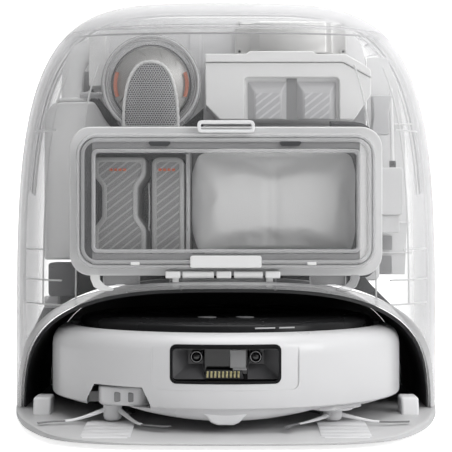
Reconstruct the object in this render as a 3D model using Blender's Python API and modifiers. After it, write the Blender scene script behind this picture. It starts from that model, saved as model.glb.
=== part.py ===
"""Robot floor cleaner in its see-through self-emptying base station.

Metres, +Z up, +X to the right as seen from the front, the front faces -Y.
The origin is on the floor, under the middle of the whole assembly.
"""

import math

import bmesh
import bpy
from mathutils import Matrix, Vector

# ---------------------------------------------------------------- clearances
GAP = 0.0003              # between pieces that touch
RUNNING_GAP = 0.0008      # between a turning or sliding piece and its seat

# ---------------------------------------------------------------- station shell
ROBOT_RADIUS = 0.175
ROBOT_MIDDLE = -0.013     # the robot's axis, along Y, when it is docked
GARAGE_CLEARANCE = 0.031  # from the robot's side to the garage arch
ARCH_HALF_WIDTH = ROBOT_RADIUS + GARAGE_CLEARANCE
ARCH_MARGIN = 0.014       # from the arch to the outside of the shell, at the foot
HALF_WIDTH = ARCH_HALF_WIDTH + ARCH_MARGIN
LINER_BACK = ROBOT_MIDDLE + ROBOT_RADIUS + 0.028
SHELL_CREST = 0.424       # height of the dome over its middle, before the slope
SHELL_SLOPE = 0.10        # rise of the dome towards the back
SHELL_MIDDLE = 0.060      # where the shell is widest, along Y
SHELL_FRONT = -0.120      # front face of the tower
SHELL_BACK = LINER_BACK + 0.033            # back face of the tower
SHELL_WALL = 0.003
DOME_POWER = 4.5          # roundness of the dome seen from the front
BACK_POWER = 16.0         # roundness of the dome's back edge
FRONT_PLAN_POWER = 2.5    # roundness of the plan outline, front half
BACK_PLAN_POWER = 6.0     # roundness of the plan outline, back half

# ---------------------------------------------------------------- lid
LID_SEAM = 0.392          # height of the seam under the lid
LID_BACK = 0.196          # the lid ends here, along Y

# ---------------------------------------------------------------- base tray
TRAY_FRONT = ROBOT_MIDDLE - ROBOT_RADIUS - 0.040
TRAY_BACK = SHELL_BACK
TRAY_CORNER = 0.045
FOOT_HEIGHT = 0.004
FOOT_RADIUS = 0.012
TRAY_THICKNESS = 0.0075
TRAY_LIP = 0.0025         # thickness of the tray's front edge
RAMP_START = -0.150       # the deck slopes down in front of this line
GUIDE_HEIGHT = 0.016
GUIDE_FACE = ROBOT_RADIUS + 0.004          # inner face of the two guide blocks
GUIDE_THICKNESS = 0.016
BASIN_MARGIN = 0.009      # from the mop pads to the basin's edge
BASIN_DEPTH = 0.0045
BACK_PANEL_THICKNESS = 0.003
BACK_PANEL_FACE = SHELL_BACK + 0.005
BACK_PANEL_HALF_WIDTH = 0.120
BACK_PANEL_TOP = 0.320

# ---------------------------------------------------------------- garage
ARCH_HEIGHT = 0.1356
ARCH_POWER = 3.0
LINER_WALL = 0.003
TRIM_WIDTH = 0.007
TRIM_THICKNESS = 0.004

# ---------------------------------------------------------------- compartment and its door
TUB_MARGIN = 0.084        # from the shell's side, at the foot, to the tub
TUB_HALF_WIDTH = HALF_WIDTH - TUB_MARGIN
TUB_BOTTOM = 0.160
TUB_TOP = 0.277
TUB_WALL = 0.0022
TUB_BACK = 0.020
DOOR_OVERLAP = 0.005      # how far the door stands out past the tub all round
DOOR_HALF_WIDTH = TUB_HALF_WIDTH + DOOR_OVERLAP
DOOR_BOTTOM = TUB_BOTTOM - DOOR_OVERLAP
DOOR_TOP = TUB_TOP + DOOR_OVERLAP
DOOR_CORNER = 0.020
DOOR_FACE = -0.126        # front face of the door
DOOR_DEPTH = 0.011
DOOR_PANE = 0.003
DOOR_RIM = 0.006
HINGE_HEIGHT = DOOR_BOTTOM - 0.006         # the door's hinge axis
HINGE_RADIUS = 0.0035
HINGE_SPAN = (-0.057, 0.051)
LATCH_HALF_WIDTH = 0.027
LATCH_HEIGHT = 0.012
FASCIA_MARGIN = 0.012     # how far the fascia stands out past the tub
FASCIA_DEPTH = 0.030
CARTRIDGE_FRONT = -0.096

# ---------------------------------------------------------------- inside the tower
PANEL_FACE = 0.025        # front face of the tank bay's wall
PANEL_THICKNESS = 0.003
TANK_FRONT = 0.034
TANK_BACK = 0.172
TANK_BOTTOM = 0.150
TANK_TOP = 0.385
TANK_MARGIN = 0.072       # from the shell's side, at the foot, to the tanks
TANK_OUTER = HALF_WIDTH - TANK_MARGIN
FAN_RADIUS = 0.0494
FAN_CENTRE = (-0.0743, TUB_TOP + FAN_RADIUS + 0.0091)
FAN_FRONT = -0.055
FAN_DEPTH = 0.035
IMPELLER_RADIUS = 0.0375
SILENCER_LEFT = FAN_CENTRE[0] + FAN_RADIUS + 0.0039
SILENCER_RIGHT = HALF_WIDTH - 0.0755
SILENCER_BOTTOM = 0.301
SILENCER_SEAM = 0.358
SILENCER_TOP = 0.367
SILENCER_FACE = -0.045
SILENCER_BACK = 0.018
POWER_FACE = -0.020

# ---------------------------------------------------------------- robot
BUMPER_BOTTOM = 0.030
BUMPER_WALL = 0.0025
BUMPER_TRAVEL = 0.004
WINDOW_SETBACK = 0.0005   # from the bumper's face to the window's
WINDOW_DEPTH = 0.004
COVER_RADIUS = ROBOT_RADIUS - WINDOW_SETBACK - WINDOW_DEPTH - BUMPER_TRAVEL - RUNNING_GAP
COVER_WALL = 0.003
COVER_SHOULDER = COVER_RADIUS - 0.010      # where the cover's roof begins
CHASSIS_BOTTOM = 0.024
CHASSIS_TOP = 0.036
CHASSIS_RADIUS = COVER_RADIUS - COVER_WALL - RUNNING_GAP
ROOF_HEIGHT = 0.0915      # top of the cover under the deck disc
DECK_RADIUS = ROBOT_RADIUS - 0.028
DECK_TOP = 0.108
WINDOW_HALF_WIDTH = 0.066
WINDOW_BOTTOM = 0.0490
WINDOW_TOP = 0.0895
WINDOW_OPENING = (0.051, 0.0536, 0.0853)   # half width, bottom, top
BAY_FRONT = ROBOT_MIDDLE - ROBOT_RADIUS + 0.0135
WHEEL_RADIUS = 0.033
WHEEL_WIDTH = 0.016
WHEEL_TRACK = 0.106       # middle of each drive wheel, along X
WHEEL_AXLE = -0.008       # the drive wheels' axle, along Y
ARM_PIVOT = (-0.047, 0.056)                # along Y, height
ARM_THICKNESS = 0.008
CASTER_PLACE = (0.0, ROBOT_MIDDLE - ROBOT_RADIUS + 0.038)
CASTER_RADIUS = 0.0175
CASTER_WHEEL_RADIUS = 0.009
ROLLER_PLACE = (-0.038, 0.0300)            # along Y, height
ROLLER_RADIUS = 0.017
ROLLER_HALF_LENGTH = 0.080
BRUSH_HUB_RADIUS = 0.009
RIGHT_BRUSH_RIM = 0.0211  # from the robot's side to the brush's axis
RIGHT_BRUSH_HEADING = math.radians(-49.48)
LEFT_BRUSH_RIM = 0.0171
LEFT_BRUSH_HEADING = math.radians(-132.18)
BRUSH_CLEARANCE = 0.003   # from the tufts' tips to the roller
BRUSH_ARM_WIDTH = 0.022
ARM_BAY_TOP = 0.0485
MOP_FRONT = 0.013         # the pads lie behind this line, along Y
MOP_SIDE_GAP = 0.004      # from each pad to the middle line
MOP_RIM_GAP = 0.003       # from each pad to the robot's side
MOP_THICKNESS = 0.006
DECK_CLEARANCE = 0.0010   # between the tray's deck and the pads, brushes and bristles



# ---------------------------------------------------------------- worked out from the sizes above
def beside_rim(rim, heading):
    """Point under the robot, a given distance inside its side."""
    radius = ROBOT_RADIUS - rim
    return radius * math.cos(heading), ROBOT_MIDDLE + radius * math.sin(heading)


def mop_radius():
    """Pads that reach the front line, the middle line and the robot's side."""
    reach, ahead = ROBOT_RADIUS - MOP_RIM_GAP, MOP_FRONT - ROBOT_MIDDLE
    slope = 2 * (MOP_SIDE_GAP + ahead + reach)
    level = MOP_SIDE_GAP ** 2 + ahead ** 2 - reach ** 2
    return (math.sqrt(slope ** 2 - 4 * level) - slope) / 2


MOP_RADIUS = mop_radius()
MOP_PLACE = (MOP_RADIUS + MOP_SIDE_GAP, MOP_FRONT + MOP_RADIUS)
RIGHT_BRUSH = beside_rim(RIGHT_BRUSH_RIM, RIGHT_BRUSH_HEADING)
LEFT_BRUSH = beside_rim(LEFT_BRUSH_RIM, LEFT_BRUSH_HEADING)
BRUSH_ARM_PIVOT = (LEFT_BRUSH[0] + 0.036, LEFT_BRUSH[1] + 0.025)
BRUSH_REACH = ROLLER_PLACE[0] - ROLLER_RADIUS - BRUSH_CLEARANCE - max(LEFT_BRUSH[1], RIGHT_BRUSH[1])
DECK = FOOT_HEIGHT + GAP + TRAY_THICKNESS
BASIN_HALF_WIDTH = MOP_PLACE[0] + MOP_RADIUS + BASIN_MARGIN
BASIN_FRONT = MOP_PLACE[1] - MOP_RADIUS - BASIN_MARGIN
BASIN_BACK = MOP_PLACE[1] + MOP_RADIUS + BASIN_MARGIN
STATION_FLOOR = DECK + GAP                 # what stands on the deck starts here
PAD_BOTTOM = DECK + DECK_CLEARANCE
WHEEL_HEIGHT = DECK + GAP + WHEEL_RADIUS
CASTER_HEIGHT = DECK + GAP + CASTER_WHEEL_RADIUS
HINGE_AXIS = (DOOR_FACE + DOOR_DEPTH / 2, HINGE_HEIGHT)

OBJECT_NAME = "robot_cleaner_with_station"


# ================================================================ tools of the bench
def clear_scene():
    for item in list(bpy.data.objects):
        bpy.data.objects.remove(item, do_unlink=True)


def make_collection(name):
    collection = bpy.data.collections.new(name)
    bpy.context.scene.collection.children.link(collection)
    return collection


def make_material(name, colour, roughness=0.4, metallic=0.0, alpha=1.0):
    material = bpy.data.materials.new(name)
    material.use_nodes = True
    shader = material.node_tree.nodes["Principled BSDF"]
    shader.inputs["Base Color"].default_value = (*colour, 1.0)
    shader.inputs["Roughness"].default_value = roughness
    shader.inputs["Metallic"].default_value = metallic
    shader.inputs["Alpha"].default_value = alpha
    return material


def add_object(name, mesh, material=None):
    item = bpy.data.objects.new(name, mesh)
    parts.objects.link(item)
    if material:
        mesh.materials.clear()
        mesh.materials.append(material)
    return item


def bake(item):
    """Replace an object's mesh with what its modifiers make of it."""
    bpy.context.view_layer.update()
    evaluated = item.evaluated_get(bpy.context.evaluated_depsgraph_get())
    baked = bpy.data.meshes.new_from_object(evaluated)
    old = item.data
    item.modifiers.clear()
    item.data = baked
    bpy.data.meshes.remove(old)
    return item


def combine(item, tool, operation):
    modifier = item.modifiers.new("combine", "BOOLEAN")
    modifier.operation = operation
    modifier.solver = "EXACT"
    modifier.object = tool
    bake(item)
    bpy.data.objects.remove(tool, do_unlink=True)
    return item


def cut(item, tool):
    return combine(item, tool, "DIFFERENCE")


def join(item, tool):
    return combine(item, tool, "UNION")


def keep(item, tool):
    return combine(item, tool, "INTERSECT")


def round_edges(item, width, segments=1, angle=40.0):
    modifier = item.modifiers.new("rounded edges", "BEVEL")
    modifier.width = width
    modifier.segments = segments
    modifier.limit_method = "ANGLE"
    modifier.angle_limit = math.radians(angle)
    return bake(item)


def smooth(item, angle=35.0):
    item.data.shade_smooth()
    item.data.set_sharp_from_angle(angle=math.radians(angle))
    return item


def set_origin(item, point):
    """Move an object's origin to a point without moving its surface."""
    item.data.transform(Matrix.Translation(-Vector(point)))
    item.location = point
    return item


def block(name, low, high, material=None, rounding=0.0):
    """A box between two opposite corners."""
    low, high = Vector(low), Vector(high)
    shape = bmesh.new()
    bmesh.ops.create_cube(shape, size=1.0)
    bmesh.ops.scale(shape, vec=high - low, verts=shape.verts)
    bmesh.ops.translate(shape, vec=(low + high) / 2, verts=shape.verts)
    mesh = bpy.data.meshes.new(name)
    shape.to_mesh(mesh)
    shape.free()
    item = add_object(name, mesh, material)
    if rounding:
        round_edges(item, rounding)
    return item


TURN_TO_AXIS = {
    "X": Matrix.Rotation(math.radians(90), 4, "Y"),
    "Y": Matrix.Rotation(math.radians(-90), 4, "X"),
    "Z": Matrix.Identity(4),
}


def drum(name, radius, start, end, axis, centre, material=None, segments=32, rounding=0.0):
    """A cylinder along an axis, from start to end on it; centre gives the other two places."""
    middle = {
        "X": ((start + end) / 2, centre[0], centre[1]),
        "Y": (centre[0], (start + end) / 2, centre[1]),
        "Z": (centre[0], centre[1], (start + end) / 2),
    }[axis]
    shape = bmesh.new()
    bmesh.ops.create_cone(shape, cap_ends=True, segments=segments, radius1=radius,
                          radius2=radius, depth=end - start)
    bmesh.ops.transform(shape, matrix=TURN_TO_AXIS[axis], verts=shape.verts)
    bmesh.ops.translate(shape, vec=middle, verts=shape.verts)
    mesh = bpy.data.meshes.new(name)
    shape.to_mesh(mesh)
    shape.free()
    item = add_object(name, mesh, material)
    if rounding:
        round_edges(item, rounding)
    return smooth(item)


OUTLINE_FRAME = {
    "X": Matrix(((0, 0, 1, 0), (1, 0, 0, 0), (0, 1, 0, 0), (0, 0, 0, 1))),
    "Y": Matrix.Rotation(math.radians(90), 4, "X"),
    "Z": Matrix.Identity(4),
}


def weld(mesh):
    shape = bmesh.new()
    shape.from_mesh(mesh)
    bmesh.ops.remove_doubles(shape, verts=shape.verts, dist=1e-6)
    bmesh.ops.recalc_face_normals(shape, faces=shape.faces)
    shape.to_mesh(mesh)
    shape.free()


def curve_to_mesh(name, curve, matrix, material):
    """Turn a curve into a welded mesh object in its place."""
    holder = bpy.data.objects.new(name + "_curve", curve)
    parts.objects.link(holder)
    holder.matrix_world = matrix
    bpy.context.view_layer.update()
    evaluated = holder.evaluated_get(bpy.context.evaluated_depsgraph_get())
    mesh = bpy.data.meshes.new_from_object(evaluated)
    mesh.transform(holder.matrix_world)
    weld(mesh)
    bpy.data.objects.remove(holder, do_unlink=True)
    bpy.data.curves.remove(curve)
    return add_object(name, mesh, material)


def slab(name, outline, start, end, axis, material=None, rounding=0.0, holes=()):
    """A flat outline made thick along an axis, from start to end on it."""
    curve = bpy.data.curves.new(name, "CURVE")
    curve.dimensions = "2D"
    curve.fill_mode = "BOTH"
    curve.extrude = (end - start) / 2
    for loop in (outline, *holes):
        spline = curve.splines.new("POLY")
        spline.points.add(len(loop) - 1)
        for point, place in zip(spline.points, loop):
            point.co = (place[0], place[1], 0.0, 1.0)
        spline.use_cyclic_u = True
    offset = {"X": (1, 0, 0), "Y": (0, 1, 0), "Z": (0, 0, 1)}[axis]
    shift = Matrix.Translation(Vector(offset) * (start + end) / 2)
    item = curve_to_mesh(name, curve, shift @ OUTLINE_FRAME[axis], material)
    if rounding:
        round_edges(item, rounding)
    return item


def pipe(name, points, radius, material, resolution=3):
    """A round pipe along a smooth line through a few points."""
    curve = bpy.data.curves.new(name, "CURVE")
    curve.dimensions = "3D"
    curve.bevel_depth = radius
    curve.bevel_resolution = resolution
    curve.use_fill_caps = True
    curve.resolution_u = 5
    spline = curve.splines.new("BEZIER")
    spline.bezier_points.add(len(points) - 1)
    for knot, place in zip(spline.bezier_points, points):
        knot.co = place
        knot.handle_left_type = "AUTO"
        knot.handle_right_type = "AUTO"
    return smooth(curve_to_mesh(name, curve, Matrix.Identity(4), material))


def turned(name, profile, centre, material=None, axis="Z", segments=64):
    """A closed profile of (radius, height) points turned about an axis through centre."""
    mesh = bpy.data.meshes.new(name)
    shape = bmesh.new()
    verts = [shape.verts.new((radius, 0.0, height)) for radius, height in profile]
    for first, second in zip(verts, verts[1:] + verts[:1]):
        shape.edges.new((first, second))
    shape.to_mesh(mesh)
    shape.free()
    item = add_object(name, mesh)
    screw = item.modifiers.new("turned", "SCREW")
    screw.axis = "Z"
    screw.angle = math.tau
    screw.steps = segments
    screw.render_steps = segments
    screw.use_merge_vertices = True
    screw.merge_threshold = 0.00005
    bake(item)
    weld(item.data)
    item.data.materials.clear()
    if material:
        item.data.materials.append(material)
    turn = Matrix.Identity(4) if axis == "Z" else Matrix.Rotation(math.radians(90), 4, "X")
    item.data.transform(Matrix.Translation(Vector(centre)) @ turn)
    return smooth(item)


def rounded_rectangle(left, right, bottom, top, radius, steps=4):
    """Outline of a rectangle whose corners are arcs."""
    corners = ((right, bottom, -90), (right, top, 0), (left, top, 90), (left, bottom, 180))
    outline = []
    for corner_x, corner_y, first in corners:
        centre_x = corner_x - math.copysign(radius, corner_x - (left + right) / 2)
        centre_y = corner_y - math.copysign(radius, corner_y - (bottom + top) / 2)
        for step in range(steps + 1):
            angle = math.radians(first + 90 * step / steps)
            outline.append((centre_x + radius * math.cos(angle),
                            centre_y + radius * math.sin(angle)))
    return outline


def power(value, exponent):
    return math.copysign(abs(value) ** exponent, value)


# ================================================================ shapes of the station
def arch_outline(margin=0.0, foot=0.0, steps=24):
    """Outline of the garage arch, margin larger all round, down to the height foot."""
    outline = []
    half_width, height = ARCH_HALF_WIDTH + margin, ARCH_HEIGHT + margin
    lowest = math.asin((foot / height) ** (ARCH_POWER / 2)) if foot > 0 else 0.0
    for step in range(steps + 1):
        angle = lowest + (math.pi - 2 * lowest) * step / steps
        outline.append((half_width * power(math.cos(angle), 2 / ARCH_POWER),
                        height * abs(math.sin(angle)) ** (2 / ARCH_POWER)))
    return outline


def room_beside(place, height):
    """Half the shell's inside width at a place along Y, in front of its middle."""
    side = (1 - (height / SHELL_CREST) ** DOME_POWER) ** (1 / DOME_POWER)
    share = (SHELL_MIDDLE - place) / ((SHELL_MIDDLE - SHELL_FRONT) * side)
    return HALF_WIDTH * side * (1 - share ** FRONT_PLAN_POWER) ** (1 / FRONT_PLAN_POWER) - SHELL_WALL


def tower_ring(height, inset, points):
    """One level of the tower: its plan outline at a height, moved in by inset."""
    level = height / (SHELL_CREST - inset)
    side = (1 - level ** DOME_POWER) ** (1 / DOME_POWER)
    back = (1 - level ** BACK_POWER) ** (1 / BACK_POWER)
    half_width = (HALF_WIDTH - inset) * side
    front_depth = (SHELL_MIDDLE - SHELL_FRONT - inset) * side
    back_depth = (SHELL_BACK - SHELL_MIDDLE - inset) * back
    ring = []
    for index in range(points):
        angle = math.tau * index / points
        sine, cosine = math.sin(angle), math.cos(angle)
        exponent = 2 / (BACK_PLAN_POWER if sine > 0 else FRONT_PLAN_POWER)
        depth = back_depth if sine > 0 else front_depth
        x = half_width * power(cosine, exponent)
        y = SHELL_MIDDLE + depth * power(sine, exponent)
        slope = SHELL_SLOPE * (y + 0.010) * level ** 4
        ring.append((x, y, height + slope))
    return ring


def tower(name, inset=0.0, base=STATION_FLOOR, material=None, points=36, levels=9):
    """The solid form of the tower: a loft of plan outlines from its base to the flat crest."""
    crest_angle = math.radians(86)
    height = SHELL_CREST - inset
    base_angle = math.asin((max(base, 0.001) / height) ** (DOME_POWER / 2))
    shape = bmesh.new()
    rings = []
    for step in range(levels + 1):
        angle = base_angle + (crest_angle - base_angle) * step / levels
        level = base if step == 0 else height * math.sin(angle) ** (2 / DOME_POWER)
        ring = tower_ring(max(level, 0.0), inset, points)
        if step == 0:
            ring = [(x, y, base) for x, y, _ in ring]
        rings.append([shape.verts.new(place) for place in ring])
    for lower, upper in zip(rings, rings[1:]):
        for index in range(points):
            following = (index + 1) % points
            shape.faces.new((lower[index], lower[following], upper[following], upper[index]))
    shape.faces.new(rings[-1])
    shape.faces.new(list(reversed(rings[0])))
    bmesh.ops.recalc_face_normals(shape, faces=shape.faces)
    mesh = bpy.data.meshes.new(name)
    shape.to_mesh(mesh)
    shape.free()
    return smooth(add_object(name, mesh, material))


def tray_outline():
    """Plan outline of the base tray: a long rounded nose, straight sides, rounded back."""
    shares = ((1.0, 0.0), (0.970, 0.253), (0.905, 0.503), (0.841, 0.670), (0.750, 0.823),
              (0.648, 0.913), (0.495, 0.969), (0.323, 0.991))
    length = SHELL_MIDDLE - TRAY_FRONT
    nose = [(HALF_WIDTH * across, SHELL_MIDDLE - length * along) for across, along in shares]
    left = [(-x, y) for x, y in nose]
    right = [(x, y) for x, y in reversed(nose)]
    outline = left + [(0.0, TRAY_FRONT)] + right
    for corner, first in ((1, 0), (-1, 90)):
        centre_x = corner * (HALF_WIDTH - TRAY_CORNER)
        for step in range(7):
            angle = math.radians(first + 15 * step)
            outline.append((centre_x + TRAY_CORNER * math.cos(angle),
                            TRAY_BACK - TRAY_CORNER + TRAY_CORNER * math.sin(angle)))
    return outline


def make_base_tray(material):
    top = DECK
    tray = slab("base_tray", tray_outline(), FOOT_HEIGHT + GAP, top, "Z", material)
    shape = bmesh.new()
    shape.from_mesh(tray.data)
    bmesh.ops.bisect_plane(shape, geom=shape.verts[:] + shape.edges[:] + shape.faces[:],
                           plane_co=(0, RAMP_START, 0), plane_no=(0, 1, 0), dist=1e-6)
    fall = TRAY_THICKNESS - TRAY_LIP
    for vert in shape.verts:
        if vert.co.z > top - GAP and vert.co.y < RAMP_START:
            vert.co.z -= fall * (RAMP_START - vert.co.y) / (RAMP_START - TRAY_FRONT)
    shape.to_mesh(tray.data)
    shape.free()
    cut(tray, block("basin", (-BASIN_HALF_WIDTH, BASIN_FRONT, top - BASIN_DEPTH),
                    (BASIN_HALF_WIDTH, BASIN_BACK, top + BASIN_DEPTH)))
    for side in (-1, 1):
        inner, outer = side * GUIDE_FACE, side * (GUIDE_FACE + GUIDE_THICKNESS)
        join(tray, block("guide", (min(inner, outer), -0.078, top - TRAY_LIP),
                         (max(inner, outer), -0.042, top + GUIDE_HEIGHT), rounding=0.004))
    return tray


def make_wash_board(material):
    fit = 2 * GAP
    return block("wash_board", (-BASIN_HALF_WIDTH + fit, BASIN_FRONT + fit, DECK - BASIN_DEPTH + GAP),
                 (BASIN_HALF_WIDTH - fit, BASIN_BACK - fit, DECK - GAP), material)


def make_feet(material):
    front, back = HALF_WIDTH - 0.070, HALF_WIDTH - 0.045
    places = ((-front, -0.150), (front, -0.150), (-back, 0.175), (back, 0.175))
    for number, place in enumerate(places, start=1):
        drum(f"rubber_foot_{number}", FOOT_RADIUS, 0.0, FOOT_HEIGHT, "Z", place, material, 24)


def front_opening(margin):
    """The cutter for the compartment's hole in the front of the shell."""
    reach = TUB_HALF_WIDTH + FASCIA_MARGIN + margin
    outline = rounded_rectangle(-reach, reach, TUB_BOTTOM - FASCIA_MARGIN - margin,
                                TUB_TOP + FASCIA_MARGIN + margin, DOOR_CORNER)
    return slab("front_opening", outline, -0.200, SHELL_MIDDLE, "Y")


def hinge_opening():
    """The cutter for the notch in which the door's hinge sits."""
    room = HINGE_RADIUS + 0.001
    return block("hinge_opening", (HINGE_SPAN[0] - 0.002, -0.200, HINGE_HEIGHT - room),
                 (HINGE_SPAN[1] + 0.002, DOOR_FACE + DOOR_DEPTH + 0.010, DOOR_BOTTOM + 0.010))


def lid_zone(margin):
    """The space above the seam and in front of the shell's back strip."""
    return block("lid_zone", (-0.300, -0.300, LID_SEAM + margin), (0.300, LID_BACK - margin, 0.600))


def make_outer_shell(material):
    shell = tower("outer_shell", material=material)
    cut(shell, tower("hollow", SHELL_WALL, base=0.0))
    cut(shell, front_opening(GAP))
    cut(shell, hinge_opening())
    cut(shell, slab("garage_mouth", arch_outline(), -0.300, SHELL_MIDDLE - 0.020, "Y"))
    cut(shell, lid_zone(0.0))
    return smooth(shell)


def make_top_lid(material):
    lid = tower("top_lid", material=material)
    cut(lid, tower("hollow", SHELL_WALL, base=0.0))
    keep(lid, lid_zone(GAP))
    set_origin(lid, (0.0, LID_BACK, lid_hinge_height()))
    return smooth(lid)


def lid_hinge_height():
    return SHELL_CREST + SHELL_SLOPE * (LID_BACK + 0.010)


def make_back_panel(material):
    outline = rounded_rectangle(-BACK_PANEL_HALF_WIDTH, BACK_PANEL_HALF_WIDTH, 0.018,
                                BACK_PANEL_TOP, 0.020)
    return slab("back_panel", outline, BACK_PANEL_FACE - BACK_PANEL_THICKNESS,
                BACK_PANEL_FACE, "Y", material)


def make_garage_liner(material):
    liner = slab("garage_liner", arch_outline(-GAP, STATION_FLOOR), -0.150, LINER_BACK, "Y", material)
    inner = -GAP - LINER_WALL
    cut(liner, slab("garage_space", arch_outline(inner), -0.300, LINER_BACK - LINER_WALL, "Y"))
    keep(liner, tower("tower_inside", SHELL_WALL + GAP, base=0.0))
    return smooth(liner)


def make_arch_trim(material):
    trim = slab("arch_trim", arch_outline(TRIM_WIDTH, STATION_FLOOR), -0.200, 0.030, "Y", material)
    cut(trim, slab("trim_opening", arch_outline(), -0.300, 0.100, "Y"))
    keep(trim, tower("trim_outside", -TRIM_THICKNESS, base=0.0))
    cut(trim, tower("trim_seat", -GAP, base=-0.010))
    return smooth(trim)


# ================================================================ compartment and door
def make_fascia(material):
    """Frame around the compartment, with the brackets of the door's hinge."""
    reach = TUB_HALF_WIDTH + FASCIA_MARGIN
    back = DOOR_FACE + DOOR_DEPTH + GAP
    outer = rounded_rectangle(-reach, reach, TUB_BOTTOM - FASCIA_MARGIN, TUB_TOP + FASCIA_MARGIN,
                              DOOR_CORNER)
    fit = TUB_HALF_WIDTH + GAP
    inner = rounded_rectangle(-fit, fit, TUB_BOTTOM - GAP, TUB_TOP + GAP, DOOR_CORNER * 0.6)
    fascia = slab("door_fascia", outer, back, back + FASCIA_DEPTH, "Y", material, holes=(inner,))
    axis_y, axis_z = HINGE_AXIS
    for start, end in ((HINGE_SPAN[0], HINGE_SPAN[0] + 0.014), (-0.009, 0.005),
                       (HINGE_SPAN[1] - 0.014, HINGE_SPAN[1])):
        bracket = block("bracket", (start, axis_y - HINGE_RADIUS, axis_z - HINGE_RADIUS),
                        (end, back + 0.004, axis_z + HINGE_RADIUS), rounding=0.001)
        join(fascia, bracket)
    pin_hole = HINGE_RADIUS * 0.5 + RUNNING_GAP / 2
    cut(fascia, drum("pin_hole", pin_hole, HINGE_SPAN[0] - 0.01, HINGE_SPAN[1] + 0.01, "X",
                     HINGE_AXIS, segments=20))
    return fascia


def make_tub(material):
    """Open-fronted tub that holds the bag and the cartridges."""
    front = DOOR_FACE + DOOR_DEPTH + GAP
    reach = TUB_HALF_WIDTH
    outline = rounded_rectangle(-reach, reach, TUB_BOTTOM, TUB_TOP, DOOR_CORNER * 0.6)
    tub = slab("compartment_tub", outline, front, TUB_BACK, "Y", material)
    inside = rounded_rectangle(-reach + TUB_WALL, reach - TUB_WALL, TUB_BOTTOM + TUB_WALL,
                               TUB_TOP - TUB_WALL, DOOR_CORNER * 0.6 - TUB_WALL)
    return cut(tub, slab("tub_space", inside, front - 0.010, TUB_BACK - TUB_WALL, "Y"))


def make_door(material):
    """Clear pane with a rim behind it and knuckles under it for the hinge pin."""
    outline = rounded_rectangle(-DOOR_HALF_WIDTH, DOOR_HALF_WIDTH, DOOR_BOTTOM, DOOR_TOP, DOOR_CORNER)
    back = DOOR_FACE + DOOR_DEPTH
    door = slab("compartment_door", outline, DOOR_FACE, back, "Y", material)
    inner = rounded_rectangle(-DOOR_HALF_WIDTH + DOOR_RIM, DOOR_HALF_WIDTH - DOOR_RIM,
                              DOOR_BOTTOM + DOOR_RIM, DOOR_TOP - DOOR_RIM, DOOR_CORNER - DOOR_RIM)
    cut(door, slab("door_space", inner, DOOR_FACE + DOOR_PANE, back + 0.010, "Y"))
    axis_y, axis_z = HINGE_AXIS
    for start, end in ((HINGE_SPAN[0] + 0.016, -0.011), (0.007, HINGE_SPAN[1] - 0.016)):
        knuckle = block("knuckle", (start, axis_y - HINGE_RADIUS, axis_z - HINGE_RADIUS),
                        (end, axis_y + HINGE_RADIUS, DOOR_BOTTOM + 0.002), rounding=0.001)
        join(door, knuckle)
    pin_radius = HINGE_RADIUS * 0.5
    pin = drum("pin", pin_radius, HINGE_SPAN[0] + 0.002, HINGE_SPAN[1] - 0.002, "X", HINGE_AXIS,
               segments=20)
    join(door, pin)
    set_origin(door, (0.0, *HINGE_AXIS))
    return door


def make_door_seal(material):
    front, back = DOOR_FACE + DOOR_PANE + GAP, DOOR_FACE + DOOR_DEPTH - GAP
    margin = DOOR_RIM + 2 * GAP
    outer = rounded_rectangle(-DOOR_HALF_WIDTH + margin, DOOR_HALF_WIDTH - margin,
                              DOOR_BOTTOM + margin, DOOR_TOP - margin, DOOR_CORNER - margin)
    width = margin + 0.004
    inner = rounded_rectangle(-DOOR_HALF_WIDTH + width, DOOR_HALF_WIDTH - width,
                              DOOR_BOTTOM + width, DOOR_TOP - width, DOOR_CORNER - width)
    seal = slab("door_seal", outer, front, back, "Y", material, holes=(inner,))
    return set_origin(seal, (0.0, *HINGE_AXIS))


def make_latch(material):
    """Pull loop on the door's top edge."""
    bottom = DOOR_TOP + GAP
    outer = rounded_rectangle(-LATCH_HALF_WIDTH, LATCH_HALF_WIDTH, bottom, bottom + LATCH_HEIGHT, 0.004)
    slot = 0.003
    inner = rounded_rectangle(-LATCH_HALF_WIDTH + slot, LATCH_HALF_WIDTH - slot, bottom + slot,
                              bottom + LATCH_HEIGHT - slot, 0.0015)
    latch = slab("door_latch", outer, DOOR_FACE + 0.001, DOOR_FACE + 0.008, "Y", material,
                 holes=(inner,))
    return set_origin(latch, (0.0, DOOR_FACE + 0.0045, bottom))


def make_cartridges(material):
    """Waisted detergent cartridge and a straight deodoriser cartridge."""
    back = TUB_BACK - TUB_WALL - 0.030
    bottom, top = TUB_BOTTOM + TUB_WALL + GAP, 0.261
    left = -TUB_HALF_WIDTH + TUB_WALL + 0.0068
    right, waist = left + 0.050, 0.008
    outline = [(left, bottom), (right, bottom), (right, 0.192), (right - waist, 0.203),
               (right - waist, 0.233), (right, 0.244), (right, top), (left, top), (left, 0.244),
               (left + waist, 0.233), (left + waist, 0.203), (left, 0.192)]
    slab("detergent_cartridge", outline, CARTRIDGE_FRONT, back, "Y", material, rounding=0.003)
    block("deodoriser_cartridge", (right + 0.006, CARTRIDGE_FRONT, bottom), (right + 0.037, back, top),
          material, rounding=0.004)


def make_dust_bag(material):
    """Plain pillow form of the dust bag."""
    back = TUB_BACK - TUB_WALL - 0.012
    right = TUB_HALF_WIDTH - TUB_WALL - 0.0068
    left = -TUB_HALF_WIDTH + TUB_WALL + 0.0998
    return block("dust_bag", (left, CARTRIDGE_FRONT, TUB_BOTTOM + TUB_WALL + 0.002),
                 (right, back, TUB_TOP - TUB_WALL - 0.004), material, rounding=0.010)


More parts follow.
